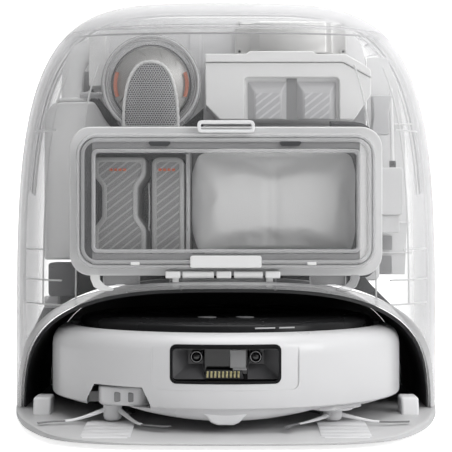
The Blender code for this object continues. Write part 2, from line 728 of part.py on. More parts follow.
# ================================================================ inside the tower
def make_inner_panel(material):
    left, right = 0.005 - TANK_OUTER, TANK_OUTER - 0.003
    outline = rounded_rectangle(left, right, ARCH_HEIGHT + 0.012, 0.411, 0.046, steps=8)
    return slab("inner_panel", outline, PANEL_FACE, PANEL_FACE + PANEL_THICKNESS, "Y", material)


def make_tanks(clean, waste):
    """Clean and waste water tanks side by side, each with a filler boss."""
    split = 0.0015
    for name, left, right, material in (("clean_tank", -TANK_OUTER, -split, clean),
                                        ("waste_tank", split, TANK_OUTER, waste)):
        tank = block(name, (left, TANK_FRONT, TANK_BOTTOM), (right, TANK_BACK, TANK_TOP),
                     material, rounding=0.016)
        middle = ((left + right) / 2 * 0.9, (TANK_FRONT + TANK_BACK) / 2)
        join(tank, drum("boss", 0.020, TANK_TOP - 0.004, TANK_TOP + 0.012, "Z", middle))
        smooth(tank)


def make_fan(clear, metal, dark):
    """Volute ring, impeller and motor on one axis, which runs along Y."""
    centre_x, centre_z = FAN_CENTRE
    back = FAN_FRONT + FAN_DEPTH
    wall = 0.0025
    bore = 0.012
    outer = FAN_RADIUS
    profile = ((outer, 0.0), (outer, FAN_DEPTH), (bore, FAN_DEPTH), (bore, FAN_DEPTH - wall),
               (outer - wall * 2, FAN_DEPTH - wall), (outer - wall * 2, 0.0))
    volute = turned("fan_volute", [(r, -d) for r, d in profile], (centre_x, FAN_FRONT, centre_z),
                    clear, axis="Y", segments=32)
    neck = block("neck", (centre_x - 0.026, FAN_FRONT + 0.004, TUB_TOP + GAP),
                 (centre_x + 0.026, back - 0.004, centre_z - FAN_RADIUS + 0.006), rounding=0.003)
    join(volute, neck)
    disc = IMPELLER_RADIUS
    cup = ((0.0, 0.004), (disc * 0.45, 0.004), (disc * 0.55, 0.0085), (disc, 0.0085),
           (disc, 0.024), (disc * 0.25, 0.026), (0.0, 0.026))
    impeller = turned("fan_impeller", [(r, -d) for r, d in cup], (centre_x, FAN_FRONT, centre_z),
                      metal, axis="Y", segments=32)
    set_origin(impeller, (centre_x, FAN_FRONT, centre_z))
    drum("fan_motor", 0.030, back + GAP, PANEL_FACE - GAP, "Y", FAN_CENTRE, dark, 32, 0.003)
    return volute


def make_fan_filter(material):
    """D-shaped screen in front of the fan."""
    centre_x = FAN_CENTRE[0]
    half, bottom, straight_top = 0.0268, 0.293, 0.331
    outline = [(centre_x - half, straight_top), (centre_x - half, bottom + 0.006),
               (centre_x - half + 0.006, bottom), (centre_x + half - 0.006, bottom),
               (centre_x + half, bottom + 0.006)]
    for step in range(13):
        angle = math.radians(180 * step / 12)
        outline.append((centre_x + half * math.cos(angle), straight_top + half * math.sin(angle)))
    outline = outline[:-1]
    return slab("fan_filter", outline, FAN_FRONT - 0.011, FAN_FRONT - GAP, "Y", material, rounding=0.0015)


def make_silencer(body, lid):
    """Chamfered air box and its lid strip."""
    left, right = SILENCER_LEFT, SILENCER_RIGHT
    low, seam, chamfer = SILENCER_BOTTOM, SILENCER_SEAM, 0.017
    outline = [(left + chamfer, low), (right - chamfer, low), (right, low + chamfer),
               (right, seam), (left, seam), (left, low + chamfer)]
    box = slab("silencer_box", outline, SILENCER_FACE, SILENCER_BACK, "Y", body, rounding=0.0025)
    recess = rounded_rectangle(left + 0.020, right - 0.0365, low + 0.008, seam - 0.006, 0.010)
    cut(box, slab("recess", recess, SILENCER_FACE - 0.010, SILENCER_FACE + 0.006, "Y"))
    top = [(left, seam + GAP), (right, seam + GAP), (right - 0.004, SILENCER_TOP),
           (left + 0.004, SILENCER_TOP)]
    slab("silencer_lid", top, SILENCER_FACE - 0.002, SILENCER_BACK, "Y", lid, rounding=0.001)
    return box


def make_power_cover(material):
    return block("power_cover", (SILENCER_LEFT + 0.0307, POWER_FACE, SILENCER_TOP + 0.003),
                 (SILENCER_RIGHT - 0.0216, PANEL_FACE - GAP, 0.4025), material, rounding=0.004)


def make_left_side(frosted, white, dark):
    """Inlet pipe, frosted duct body and drain pump on the left of the tower."""
    duct_top, front = 0.318, -0.025
    left = 0.004 - room_beside(front, duct_top)
    right = -max(TUB_HALF_WIDTH + 0.0035, FAN_RADIUS - FAN_CENTRE[0] + 0.0158)
    outline = rounded_rectangle(left, right, 0.206, duct_top, min(0.012, (right - left) / 3))
    slab("left_duct", outline, front, PANEL_FACE - 0.003, "Y", frosted, rounding=0.004)
    middle = (left + right) / 2
    route = ((middle, -0.010, duct_top + GAP), (middle, -0.010, 0.338), (middle + 0.008, -0.010, 0.360),
             (middle + 0.022, -0.010, 0.378))
    pipe("inlet_pipe", route, 0.010, white)
    pump_left = 0.006 - room_beside(-0.058, TUB_BOTTOM)
    block("drain_pump", (pump_left, -0.058, 0.126), (pump_left + 0.028, -0.018, TUB_BOTTOM - 0.001),
          dark, rounding=0.003)


def make_right_side(clear, white):
    """Water pump and its upright tube on the right of the tower."""
    pump_top, left = 0.255, TANK_OUTER + 0.006
    block("water_pump", (left, -0.010, 0.206), (left + 0.027, 0.030, pump_top), clear, rounding=0.003)
    place = left + 0.016
    pipe("water_tube", ((place, 0.010, pump_top + GAP), (place, 0.010, 0.300), (place, 0.010, 0.337)),
         0.0021, white)


def make_power_inlet(material):
    """Mains inlet low on the back, beside the back panel."""
    back = BACK_PANEL_FACE - 0.0005
    block("power_inlet", (BACK_PANEL_HALF_WIDTH + 0.006, back - 0.005, 0.030),
          (BACK_PANEL_HALF_WIDTH + 0.032, back, 0.050), material, rounding=0.0015)


# ================================================================ robot
def robot_centre(height=0.0):
    return (0.0, ROBOT_MIDDLE, height)


def skirt_profile(inset):
    """Outer line of the robot's skirt from bottom to lip, moved in by inset."""
    return [(ROBOT_RADIUS - inset, BUMPER_BOTTOM), (ROBOT_RADIUS - inset, 0.080),
            (ROBOT_RADIUS - 0.0025 - inset, 0.089 - inset * 0.4),
            (ROBOT_RADIUS - 0.009 - inset * 0.8, 0.0955 - inset),
            (ROBOT_RADIUS - 0.019, 0.098 - inset)]


def front_sector(name, margin):
    """The half of the robot in front of a line across it."""
    line = ROBOT_MIDDLE + 0.010 + margin
    return block(name, (-0.300, -0.400, 0.0), (0.300, line, 0.200))


def window_cutter(name, half_width, bottom, top):
    outline = rounded_rectangle(-half_width, half_width, bottom, top, 0.006)
    return slab(name, outline, -0.300, -0.130, "Y")


def arm_bay(name, margin=0.0):
    """The space in which the extending brush arm swings."""
    left, right = LEFT_BRUSH[0] - 0.025 - margin, BRUSH_ARM_PIVOT[0] + 0.014
    return block(name, (left, -0.300, 0.0), (right, BRUSH_ARM_PIVOT[1] + 0.015, ARM_BAY_TOP))


def make_bumper(material):
    outer = skirt_profile(0.0)
    inner = skirt_profile(BUMPER_WALL)
    bumper = turned("bumper", outer + list(reversed(inner)), robot_centre(), material, segments=56)
    keep(bumper, front_sector("front", -0.006))
    cut(bumper, window_cutter("window", WINDOW_HALF_WIDTH + GAP, WINDOW_BOTTOM - GAP, WINDOW_TOP + GAP))
    cut(bumper, arm_bay("notch"))
    set_origin(bumper, robot_centre())
    return smooth(bumper)


def make_sensor_window(material):
    """Black window frame set in the bumper."""
    outer_radius = ROBOT_RADIUS - WINDOW_SETBACK
    inner_radius = outer_radius - WINDOW_DEPTH
    ring = ((inner_radius, WINDOW_BOTTOM), (outer_radius, WINDOW_BOTTOM), (outer_radius, 0.088),
            (inner_radius, 0.088))
    frame = turned("sensor_window", ring, robot_centre(), material, segments=56)
    keep(frame, window_cutter("window_limits", WINDOW_HALF_WIDTH, WINDOW_BOTTOM, 0.088))
    half_width, bottom, top = WINDOW_OPENING
    cut(frame, window_cutter("window_opening", half_width, bottom, top))
    set_origin(frame, robot_centre())
    return smooth(frame)


def make_robot_cover(material):
    """Top cover: a recessed wall behind the bumper, a full skirt at the back."""
    wall = COVER_RADIUS - COVER_WALL
    low = CHASSIS_TOP + GAP
    profile = ((COVER_RADIUS, low), (COVER_RADIUS, 0.076), (COVER_SHOULDER, ROOF_HEIGHT),
               (0.0001, ROOF_HEIGHT), (0.0001, ROOF_HEIGHT - COVER_WALL),
               (COVER_SHOULDER - 0.002, ROOF_HEIGHT - COVER_WALL), (wall, 0.0755),
               (wall, low))
    cover = turned("robot_cover", profile, robot_centre(), material, segments=56)
    outer = skirt_profile(0.0)
    rear_profile = outer + [(DECK_RADIUS + 0.003, 0.098), (DECK_RADIUS + 0.003, ROOF_HEIGHT - 0.001),
                            (COVER_SHOULDER - 0.002, ROOF_HEIGHT - 0.001), (wall + 0.001, 0.076),
                            (wall + 0.001, BUMPER_BOTTOM)]
    rear = turned("rear_skirt", rear_profile, robot_centre(), segments=56)
    cut(rear, front_sector("front", 0.0))
    join(cover, rear)
    half_width, bottom, top = WINDOW_OPENING
    seat = RUNNING_GAP - GAP
    cut(cover, window_cutter("bay_mouth", half_width - seat, bottom + seat, top - seat))
    cut(cover, arm_bay("notch"))
    return smooth(cover)


def make_robot_deck(material):
    """Smoked disc on top of the robot."""
    low = ROOF_HEIGHT + GAP
    profile = ((0.0001, low), (DECK_RADIUS, low), (DECK_RADIUS, DECK_TOP - 0.006),
               (DECK_RADIUS - 0.002, DECK_TOP - 0.003), (DECK_RADIUS - 0.008, DECK_TOP - 0.001),
               (DECK_RADIUS - 0.020, DECK_TOP), (0.0001, DECK_TOP))
    return turned("robot_deck", profile, robot_centre(), material, segments=48)


def make_chassis(material):
    centre = (0.0, ROBOT_MIDDLE)
    chassis = drum("robot_chassis", CHASSIS_RADIUS, CHASSIS_BOTTOM, CHASSIS_TOP, "Z", centre, material, 56)
    low, high = CHASSIS_BOTTOM - 0.010, CHASSIS_TOP + 0.010
    room = 0.004
    for side in (-1, 1):
        inner = side * (WHEEL_TRACK - WHEEL_WIDTH / 2 - ARM_THICKNESS - room / 2)
        outer = side * (WHEEL_TRACK + WHEEL_WIDTH / 2 + room)
        reach = WHEEL_RADIUS + room
        cut(chassis, block("wheel_well", (min(inner, outer), WHEEL_AXLE - reach, low),
                           (max(inner, outer), WHEEL_AXLE + reach, high)))
    reach, place = ROLLER_RADIUS + 0.0025, ROLLER_PLACE[0]
    cut(chassis, block("roller_well", (-ROLLER_HALF_LENGTH - 0.002, place - reach, low),
                       (ROLLER_HALF_LENGTH + 0.002, place + reach, high)))
    cut(chassis, drum("caster_well", CASTER_RADIUS + RUNNING_GAP, low, high, "Z", CASTER_PLACE))
    cut(chassis, arm_bay("arm_bay"))
    return smooth(chassis)


def make_sensor_bay(dark, lens, gold):
    """Bay behind the window, with two cameras and the contact strip."""
    half_width, bottom, top = (WINDOW_OPENING[0] - RUNNING_GAP, WINDOW_OPENING[1] + RUNNING_GAP,
                               WINDOW_OPENING[2] - RUNNING_GAP)
    front, back, wall, lens_radius = BAY_FRONT, BAY_FRONT + 0.0245, 0.0012, 0.0062
    outline = rounded_rectangle(-half_width, half_width, bottom, top, 0.005)
    bay = slab("sensor_bay", outline, front, back, "Y", dark)
    inside = rounded_rectangle(-half_width + wall, half_width - wall, bottom + wall, top - wall, 0.003)
    cut(bay, slab("bay_space", inside, front - 0.010, back - wall, "Y"))
    floor = back - wall - GAP
    height = top - wall - RUNNING_GAP - lens_radius
    for label, place in (("left", -0.0273), ("right", 0.0264)):
        drum(f"camera_{label}", lens_radius, front - 0.0015, floor, "Y", (place, height), lens, 24, 0.0008)
    strip = [(-0.0165, 0.066), (-0.0135, 0.0580), (0.009, 0.0580), (0.012, 0.066)]
    slab("contact_strip", strip, front - 0.0005, floor, "Y", gold)


def make_drive_wheels(rubber, dark):
    """Each wheel turns on a sprung arm beside it."""
    for side, label in ((-1, "left"), (1, "right")):
        middle = side * WHEEL_TRACK
        place = (WHEEL_AXLE, WHEEL_HEIGHT)
        wheel = drum(f"drive_wheel_{label}", WHEEL_RADIUS, middle - WHEEL_WIDTH / 2,
                     middle + WHEEL_WIDTH / 2, "X", place, rubber, 32, 0.002)
        set_origin(wheel, (middle, *place))
        inner = abs(middle) - WHEEL_WIDTH / 2 - GAP
        near, far = sorted((side * (inner - ARM_THICKNESS), side * inner))
        pivot_y, pivot_z = ARM_PIVOT
        outline = [(pivot_y - 0.006, pivot_z - 0.006), (WHEEL_AXLE - 0.002, WHEEL_HEIGHT - 0.007),
                   (WHEEL_AXLE + 0.009, WHEEL_HEIGHT - 0.004), (WHEEL_AXLE + 0.009, WHEEL_HEIGHT + 0.007),
                   (pivot_y + 0.004, pivot_z + 0.007), (pivot_y - 0.006, pivot_z + 0.006)]
        arm = slab(f"suspension_arm_{label}", outline, near, far, "X", dark, rounding=0.001)
        set_origin(arm, ((near + far) / 2, pivot_y, pivot_z))


def make_caster(dark, rubber):
    """Swivelling caster under the robot's nose."""
    x, y = CASTER_PLACE
    top = CHASSIS_TOP - 0.0005
    fork = drum("caster_fork", CASTER_RADIUS, 0.0165, top, "Z", CASTER_PLACE, dark, 32)
    wheel_half, trail = 0.006, 0.002
    gap = RUNNING_GAP
    cut(fork, block("fork_slot", (x - wheel_half - gap, y + trail - CASTER_WHEEL_RADIUS - gap * 2, 0.0),
                    (x + wheel_half + gap, y + trail + CASTER_WHEEL_RADIUS + gap * 2,
                     CASTER_HEIGHT + CASTER_WHEEL_RADIUS + gap * 2)))
    set_origin(fork, (x, y, top))
    place = (y + trail, CASTER_HEIGHT)
    wheel = drum("caster_wheel", CASTER_WHEEL_RADIUS, x - wheel_half, x + wheel_half, "X", place,
                 rubber, 24, 0.001)
    set_origin(wheel, (x, *place))


def make_roller(material):
    """Main brush: a core with six straight paddles."""
    outline = []
    vanes = 6
    for index in range(vanes * 4):
        angle = math.tau * index / (vanes * 4)
        radius = ROLLER_RADIUS * (1.0, 0.80, 0.70, 0.80)[index % 4]
        outline.append((ROLLER_PLACE[0] + radius * math.cos(angle),
                        ROLLER_PLACE[1] + radius * math.sin(angle)))
    roller = slab("roller_brush", outline, -ROLLER_HALF_LENGTH, ROLLER_HALF_LENGTH, "X", material)
    return set_origin(roller, (0.0, *ROLLER_PLACE))


def make_side_brush(name, place, first_arm, top, material):
    """Hub with three long tapered tufts."""
    outline = []
    arm_half, tip_half, root = 0.0032, 0.0012, 0.006
    for number in range(3):
        angle = math.radians(first_arm + 120 * number)
        along = Vector((math.cos(angle), math.sin(angle)))
        across = Vector((-along.y, along.x))
        for distance, half in ((root, -arm_half), (BRUSH_REACH, -tip_half), (BRUSH_REACH, tip_half),
                               (root, arm_half)):
            point = Vector(place) + along * distance + across * half
            outline.append((point.x, point.y))
    brush = slab(name, outline, PAD_BOTTOM, PAD_BOTTOM + 0.0022, "Z", material)
    join(brush, drum("hub", BRUSH_HUB_RADIUS, PAD_BOTTOM, top - GAP, "Z", place, segments=24))
    return set_origin(brush, (*place, top - GAP))


def make_brush_arm(material):
    """Extending arm that carries the left side brush."""
    start, end = Vector(BRUSH_ARM_PIVOT), Vector(LEFT_BRUSH)
    heading = math.atan2(end.y - start.y, end.x - start.x)
    radius = BRUSH_ARM_WIDTH / 2
    outline = []
    for centre, first in ((end, heading - math.pi / 2), (start, heading + math.pi / 2)):
        for step in range(9):
            angle = first + math.pi * step / 8
            outline.append((centre.x + radius * math.cos(angle), centre.y + radius * math.sin(angle)))
    low, high = 0.0292, ARM_BAY_TOP - 0.0015
    arm = slab("brush_arm", outline, low, high, "Z", material, rounding=0.002)
    return set_origin(arm, (*BRUSH_ARM_PIVOT, high))


def make_mops(pad_material, holder_material):
    """Two round mop pads on their holders."""
    seam = PAD_BOTTOM + MOP_THICKNESS
    for side, label in ((-1, "left"), (1, "right")):
        place = (side * MOP_PLACE[0], MOP_PLACE[1])
        pad = drum(f"mop_pad_{label}", MOP_RADIUS, PAD_BOTTOM, seam, "Z", place, pad_material, 36, 0.0015)
        set_origin(pad, (*place, seam))
        holder = drum(f"mop_holder_{label}", MOP_RADIUS * 0.84, seam + GAP, CHASSIS_BOTTOM - GAP, "Z",
                      place, holder_material, 32)
        set_origin(holder, (*place, CHASSIS_BOTTOM))


def make_robot_inside(battery, dust_box):
    low = CHASSIS_TOP + 0.001
    left, front = BRUSH_ARM_PIVOT[0] + 0.025, ROBOT_MIDDLE - ROBOT_RADIUS + 0.053
    back = ROLLER_PLACE[0] - ROLLER_RADIUS - 0.010
    block("robot_battery", (left, front, low), (0.060, back, low + 0.014), battery, rounding=0.003)
    block("robot_dust_box", (-0.075, 0.004, low + 0.010), (0.075, 0.070, ROOF_HEIGHT - COVER_WALL - 0.002),
          dust_box, rounding=0.006)


# ================================================================ build
clear_scene()
parts = make_collection(OBJECT_NAME)

clear_plastic = make_material("clear_plastic", (0.86, 0.87, 0.88), 0.12, alpha=0.35)
white_plastic = make_material("white_plastic", (0.80, 0.80, 0.79), 0.38)
grey_plastic = make_material("grey_plastic", (0.36, 0.36, 0.37), 0.45)
dark_plastic = make_material("dark_plastic", (0.045, 0.045, 0.048), 0.50)
black_gloss = make_material("black_gloss", (0.010, 0.010, 0.012), 0.10)
black_rubber = make_material("black_rubber", (0.030, 0.030, 0.030), 0.75)
metal_fan = make_material("fan_metal", (0.30, 0.30, 0.31), 0.35, metallic=0.8)
aluminium = make_material("satin_aluminium", (0.56, 0.55, 0.53), 0.40, metallic=0.9)
gold = make_material("gold_contacts", (0.75, 0.53, 0.22), 0.30, metallic=1.0)
bag_fleece = make_material("bag_fleece", (0.78, 0.78, 0.77), 0.85)
mop_cloth = make_material("mop_cloth", (0.62, 0.63, 0.64), 0.95)

make_base_tray(white_plastic)
make_wash_board(grey_plastic)
make_feet(black_rubber)
make_outer_shell(clear_plastic)
make_top_lid(clear_plastic)
make_back_panel(white_plastic)
make_garage_liner(dark_plastic)
make_arch_trim(clear_plastic)
make_fascia(white_plastic)
make_tub(clear_plastic)
make_door(clear_plastic)
make_door_seal(black_rubber)
make_latch(white_plastic)
make_cartridges(grey_plastic)
make_dust_bag(bag_fleece)
make_inner_panel(white_plastic)
make_tanks(clear_plastic, grey_plastic)
make_fan(clear_plastic, metal_fan, dark_plastic)
make_fan_filter(grey_plastic)
make_silencer(white_plastic, white_plastic)
make_power_cover(aluminium)
make_left_side(clear_plastic, white_plastic, dark_plastic)
make_right_side(clear_plastic, white_plastic)
make_power_inlet(black_rubber)

make_chassis(white_plastic)
make_robot_cover(white_plastic)
make_robot_deck(black_gloss)
make_bumper(white_plastic)
make_sensor_window(black_gloss)
make_sensor_bay(dark_plastic, black_gloss, gold)
make_drive_wheels(black_rubber, dark_plastic)
make_caster(white_plastic, black_rubber)
make_roller(grey_plastic)
make_brush_arm(white_plastic)
make_side_brush("side_brush_left", LEFT_BRUSH, -170.0, 0.0292, black_rubber)
make_side_brush("side_brush_right", RIGHT_BRUSH, -23.0, CHASSIS_BOTTOM, black_rubber)
make_mops(mop_cloth, grey_plastic)
make_robot_inside(dark_plastic, grey_plastic)
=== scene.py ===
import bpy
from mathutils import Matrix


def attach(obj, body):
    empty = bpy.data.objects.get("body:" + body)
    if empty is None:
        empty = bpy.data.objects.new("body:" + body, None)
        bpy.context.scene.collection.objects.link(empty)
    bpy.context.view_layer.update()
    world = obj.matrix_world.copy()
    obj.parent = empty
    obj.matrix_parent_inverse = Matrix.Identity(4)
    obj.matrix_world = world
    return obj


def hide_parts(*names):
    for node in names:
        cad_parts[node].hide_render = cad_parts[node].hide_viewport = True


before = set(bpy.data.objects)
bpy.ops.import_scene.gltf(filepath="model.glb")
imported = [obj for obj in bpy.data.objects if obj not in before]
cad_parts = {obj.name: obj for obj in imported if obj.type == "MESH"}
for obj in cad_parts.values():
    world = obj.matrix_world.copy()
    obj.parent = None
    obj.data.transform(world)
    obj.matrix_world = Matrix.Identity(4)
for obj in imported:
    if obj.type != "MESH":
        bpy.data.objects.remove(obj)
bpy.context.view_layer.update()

import math

import bmesh
import bpy
from mathutils import Vector

robotMiddle = -0.013
robotRadius = 0.175


# materials
def wire(tree, start, end):
    tree.links.new(start, end)


def newMaterial(name, colour, roughness=0.4, metallic=0.0, grain=600.0, bump=0.04, tint=0.05,
                rough=0.08, stretch=(1, 1, 1), coat=0.0, alpha=None, sheen=0.0, specular=0.5):
    material = bpy.data.materials.new(name)
    material.use_nodes = True
    tree = material.node_tree
    shader = tree.nodes["Principled BSDF"]
    place = tree.nodes.new("ShaderNodeTexCoord")
    scale = tree.nodes.new("ShaderNodeMapping")
    scale.inputs["Scale"].default_value = stretch
    wire(tree, place.outputs["Object"], scale.inputs["Vector"])
    fine = tree.nodes.new("ShaderNodeTexNoise")
    fine.inputs["Scale"].default_value = grain
    fine.inputs["Detail"].default_value = 3.0
    wire(tree, scale.outputs["Vector"], fine.inputs["Vector"])
    broad = tree.nodes.new("ShaderNodeTexNoise")
    broad.inputs["Scale"].default_value = 14.0
    broad.inputs["Detail"].default_value = 4.0
    wire(tree, scale.outputs["Vector"], broad.inputs["Vector"])
    mix = tree.nodes.new("ShaderNodeMix")
    mix.data_type = "RGBA"
    mix.inputs["A"].default_value = (*[max(0.0, c * (1 - tint)) for c in colour], 1)
    mix.inputs["B"].default_value = (*[min(1.0, c * (1 + tint)) for c in colour], 1)
    wire(tree, broad.outputs["Fac"], mix.inputs["Factor"])
    wire(tree, mix.outputs["Result"], shader.inputs["Base Color"])
    spread = tree.nodes.new("ShaderNodeMapRange")
    spread.inputs["From Min"].default_value = 0.3
    spread.inputs["From Max"].default_value = 0.7
    spread.inputs["To Min"].default_value = max(0.02, roughness - rough)
    spread.inputs["To Max"].default_value = min(1.0, roughness + rough)
    wire(tree, broad.outputs["Fac"], spread.inputs["Value"])
    wire(tree, spread.outputs["Result"], shader.inputs["Roughness"])
    relief = tree.nodes.new("ShaderNodeBump")
    relief.inputs["Strength"].default_value = bump
    relief.inputs["Distance"].default_value = 0.0004
    wire(tree, fine.outputs["Fac"], relief.inputs["Height"])
    wire(tree, relief.outputs["Normal"], shader.inputs["Normal"])
    shader.inputs["Metallic"].default_value = metallic
    shader.inputs["Coat Weight"].default_value = coat
    shader.inputs["Sheen Weight"].default_value = sheen
    shader.inputs["Specular IOR Level"].default_value = specular
    if alpha:                                   # (face on, at the edge, power)
        facing = tree.nodes.new("ShaderNodeLayerWeight")
        facing.inputs["Blend"].default_value = 0.5
        curve = tree.nodes.new("ShaderNodeMath")
        curve.operation = "POWER"
        curve.inputs[1].default_value = alpha[2]
        wire(tree, facing.outputs["Facing"], curve.inputs[0])
        level = tree.nodes.new("ShaderNodeMapRange")
        level.inputs["To Min"].default_value = alpha[0]
        level.inputs["To Max"].default_value = alpha[1]
        wire(tree, curve.outputs[0], level.inputs["Value"])
        wire(tree, level.outputs["Result"], shader.inputs["Alpha"])
    return material


def addStripes(material, colour, pitch, share, heading=(1, 0, 1), bump=0.3):  # bands, pitch apart
    tree = material.node_tree
    shader = tree.nodes["Principled BSDF"]
    place = tree.nodes.new("ShaderNodeTexCoord")
    dot = tree.nodes.new("ShaderNodeVectorMath")
    dot.operation = "DOT_PRODUCT"
    dot.inputs[1].default_value = Vector(heading).normalized()
    wire(tree, place.outputs["Object"], dot.inputs[0])
    steps = tree.nodes.new("ShaderNodeMath")
    steps.operation = "PINGPONG"
    steps.inputs[1].default_value = pitch / 2
    wire(tree, dot.outputs["Value"], steps.inputs[0])
    edge = tree.nodes.new("ShaderNodeMapRange")
    edge.inputs["From Min"].default_value = pitch / 2 * (share - 0.10)
    edge.inputs["From Max"].default_value = pitch / 2 * (share + 0.10)
    wire(tree, steps.outputs[0], edge.inputs["Value"])
    old = shader.inputs["Base Color"].links[0].from_socket
    mix = tree.nodes.new("ShaderNodeMix")
    mix.data_type = "RGBA"
    mix.inputs["A"].default_value = (*colour, 1)
    wire(tree, edge.outputs["Result"], mix.inputs["Factor"])
    wire(tree, old, mix.inputs["B"])
    wire(tree, mix.outputs["Result"], shader.inputs["Base Color"])
    relief = tree.nodes.new("ShaderNodeBump")
    relief.inputs["Strength"].default_value = bump
    relief.inputs["Distance"].default_value = 0.0006
    relief.invert = True
    wire(tree, edge.outputs["Result"], relief.inputs["Height"])
    wire(tree, shader.inputs["Normal"].links[0].from_socket, relief.inputs["Normal"])
    wire(tree, relief.outputs["Normal"], shader.inputs["Normal"])
    return material


white = newMaterial("warmWhite", (0.84, 0.84, 0.84), 0.38, grain=1400, bump=0.05, tint=0.02)
softWhite = newMaterial("softWhite", (0.80, 0.80, 0.81), 0.48, grain=900, bump=0.06, tint=0.03)
trayWhite = newMaterial("trayWhite", (0.53, 0.53, 0.535), 0.45, grain=1200, bump=0.06, tint=0.03)
robotWhite = newMaterial("robotWhite", (0.68, 0.68, 0.69), 0.33, grain=1600, bump=0.03, tint=0.015,
                         coat=0.15)
grey = newMaterial("midGrey", (0.30, 0.30, 0.305), 0.45, grain=900, bump=0.06)
paleGrey = newMaterial("paleGrey", (0.52, 0.52, 0.53), 0.42, grain=900, bump=0.05)
darkGrey = newMaterial("darkGrey", (0.055, 0.056, 0.06), 0.45, grain=700, bump=0.10)
garageBlack = newMaterial("garageBlack", (0.036, 0.036, 0.038), 0.42, grain=500, bump=0.08, tint=0.2)
glossBlack = newMaterial("glossBlack", (0.006, 0.006, 0.007), 0.10, grain=300, bump=0.01, coat=0.6)
rubber = newMaterial("rubber", (0.028, 0.028, 0.029), 0.75, grain=1500, bump=0.25, tint=0.15)
smoked = newMaterial("smokedDisc", (0.016, 0.016, 0.017), 0.24, grain=200, bump=0.02, tint=0.30,
                     specular=0.15)
hoodGrey = newMaterial("hoodGrey", (0.12, 0.12, 0.125), 0.35, grain=900, bump=0.04)
bezelBlack = newMaterial("bezelBlack", (0.008, 0.008, 0.009), 0.34, grain=600, bump=0.03, specular=0.15)
brushed = newMaterial("brushedMetal", (0.50, 0.495, 0.485), 0.46, metallic=0.6, grain=420, bump=0.08,
                      stretch=(1, 1, 12))
castMetal = newMaterial("castAluminium", (0.70, 0.695, 0.685), 0.36, metallic=0.85, grain=2200,
                        bump=0.22, tint=0.04)
gold = newMaterial("goldPins", (0.72, 0.66, 0.38), 0.28, metallic=0.85, grain=2500, bump=0.08)
orange = newMaterial("orangeMark", (0.72, 0.13, 0.05), 0.5, grain=1500, bump=0.05)
screwMetal = newMaterial("screwMetal", (0.55, 0.55, 0.55), 0.3, metallic=0.9, grain=900, bump=0.1)
bristle = newMaterial("bristle", (0.20, 0.20, 0.205), 0.55, grain=2600, bump=0.5, stretch=(1, 1, 0.1))
shellClear = newMaterial("shellClear", (0.80, 0.80, 0.81), 0.20, grain=900, bump=0.01, tint=0.01,
                         alpha=(0.03, 0.72, 2.1))
lidClear = newMaterial("lidClear", (0.72, 0.72, 0.73), 0.18, grain=900, bump=0.01, tint=0.01,
                       alpha=(0.04, 0.82, 1.7))
rimClear = newMaterial("rimClear", (0.74, 0.74, 0.75), 0.10, grain=900, bump=0.01, tint=0.01,
                       alpha=(0.35, 0.95, 1.3))
doorClear = newMaterial("doorClear", (0.78, 0.78, 0.79), 0.06, grain=700, bump=0.004, tint=0.01,
                        alpha=(0.05, 0.72, 2.0))
beadClear = newMaterial("beadClear", (0.78, 0.78, 0.79), 0.07, grain=700, bump=0.01, tint=0.02,
                        alpha=(0.42, 0.92, 1.3))
frosted = newMaterial("frosted", (0.83, 0.83, 0.835), 0.42, grain=1100, bump=0.06, tint=0.03,
                      alpha=(0.72, 0.97, 1.5))
greyClear = newMaterial("greyClear", (0.50, 0.50, 0.505), 0.12, grain=700, bump=0.02, tint=0.05,
                        alpha=(0.30, 0.88, 1.2))
trimClear = newMaterial("trimClear", (0.50, 0.50, 0.505), 0.10, grain=700, bump=0.02, tint=0.05,
                        alpha=(0.40, 0.90, 1.2))
cartFace = addStripes(newMaterial("cartridgeFace", (0.26, 0.26, 0.262), 0.5, grain=1500, bump=0.12),
                      (0.41, 0.41, 0.412), 0.0062, 0.26, heading=(-0.62, 0, 0.79))
cartFrame = newMaterial("cartridgeFrame", (0.44, 0.44, 0.442), 0.42, grain=1300, bump=0.08)
stripeGrey = addStripes(newMaterial("stripeGrey", (0.52, 0.52, 0.535), 0.5, grain=1300, bump=0.1),
                        (0.70, 0.70, 0.715), 0.0062, 0.30, heading=(-0.62, 0, 0.79))
fleece = newMaterial("bagFleece", (0.84, 0.84, 0.84), 0.88, grain=1500, bump=0.45, tint=0.05, sheen=0.3,
                     stretch=(1, 1, 0.35))
mopCloth = newMaterial("mopCloth", (0.36, 0.36, 0.37), 0.92, grain=1900, bump=0.9, tint=0.18, sheen=0.5)
print("materials ready")


# shapes
def addMesh(name, shape, material, smoothAngle=40.0, bevel=0.0, segments=2, body="station", replaces=(),
            slotName=None):
    bmesh.ops.recalc_face_normals(shape, faces=shape.faces)
    mesh = bpy.data.meshes.new(name)
    shape.to_mesh(mesh)
    shape.free()
    piece = bpy.data.objects.new(name, mesh)
    bpy.context.scene.collection.objects.link(piece)
    for item in (material if isinstance(material, (list, tuple)) else (material,)):
        mesh.materials.append(item)
    mesh.shade_smooth()
    mesh.set_sharp_from_angle(angle=math.radians(smoothAngle))
    if bevel:
        edge = piece.modifiers.new("edge", "BEVEL")
        edge.width = bevel
        edge.segments = segments
        edge.limit_method = "ANGLE"
        edge.angle_limit = math.radians(42)
        edge.use_clamp_overlap = True
    if body:
        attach(piece, body)
    if replaces:
        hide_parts(*replaces)
    return piece


def addBox(shape, low, high, index=0):
    corners = [shape.verts.new((x, y, z)) for x in (low[0], high[0]) for y in (low[1], high[1])
               for z in (low[2], high[2])]
    for side in ((0, 1, 3, 2), (4, 6, 7, 5), (0, 4, 5, 1), (2, 3, 7, 6), (0, 2, 6, 4), (1, 5, 7, 3)):
        shape.faces.new([corners[i] for i in side]).material_index = index


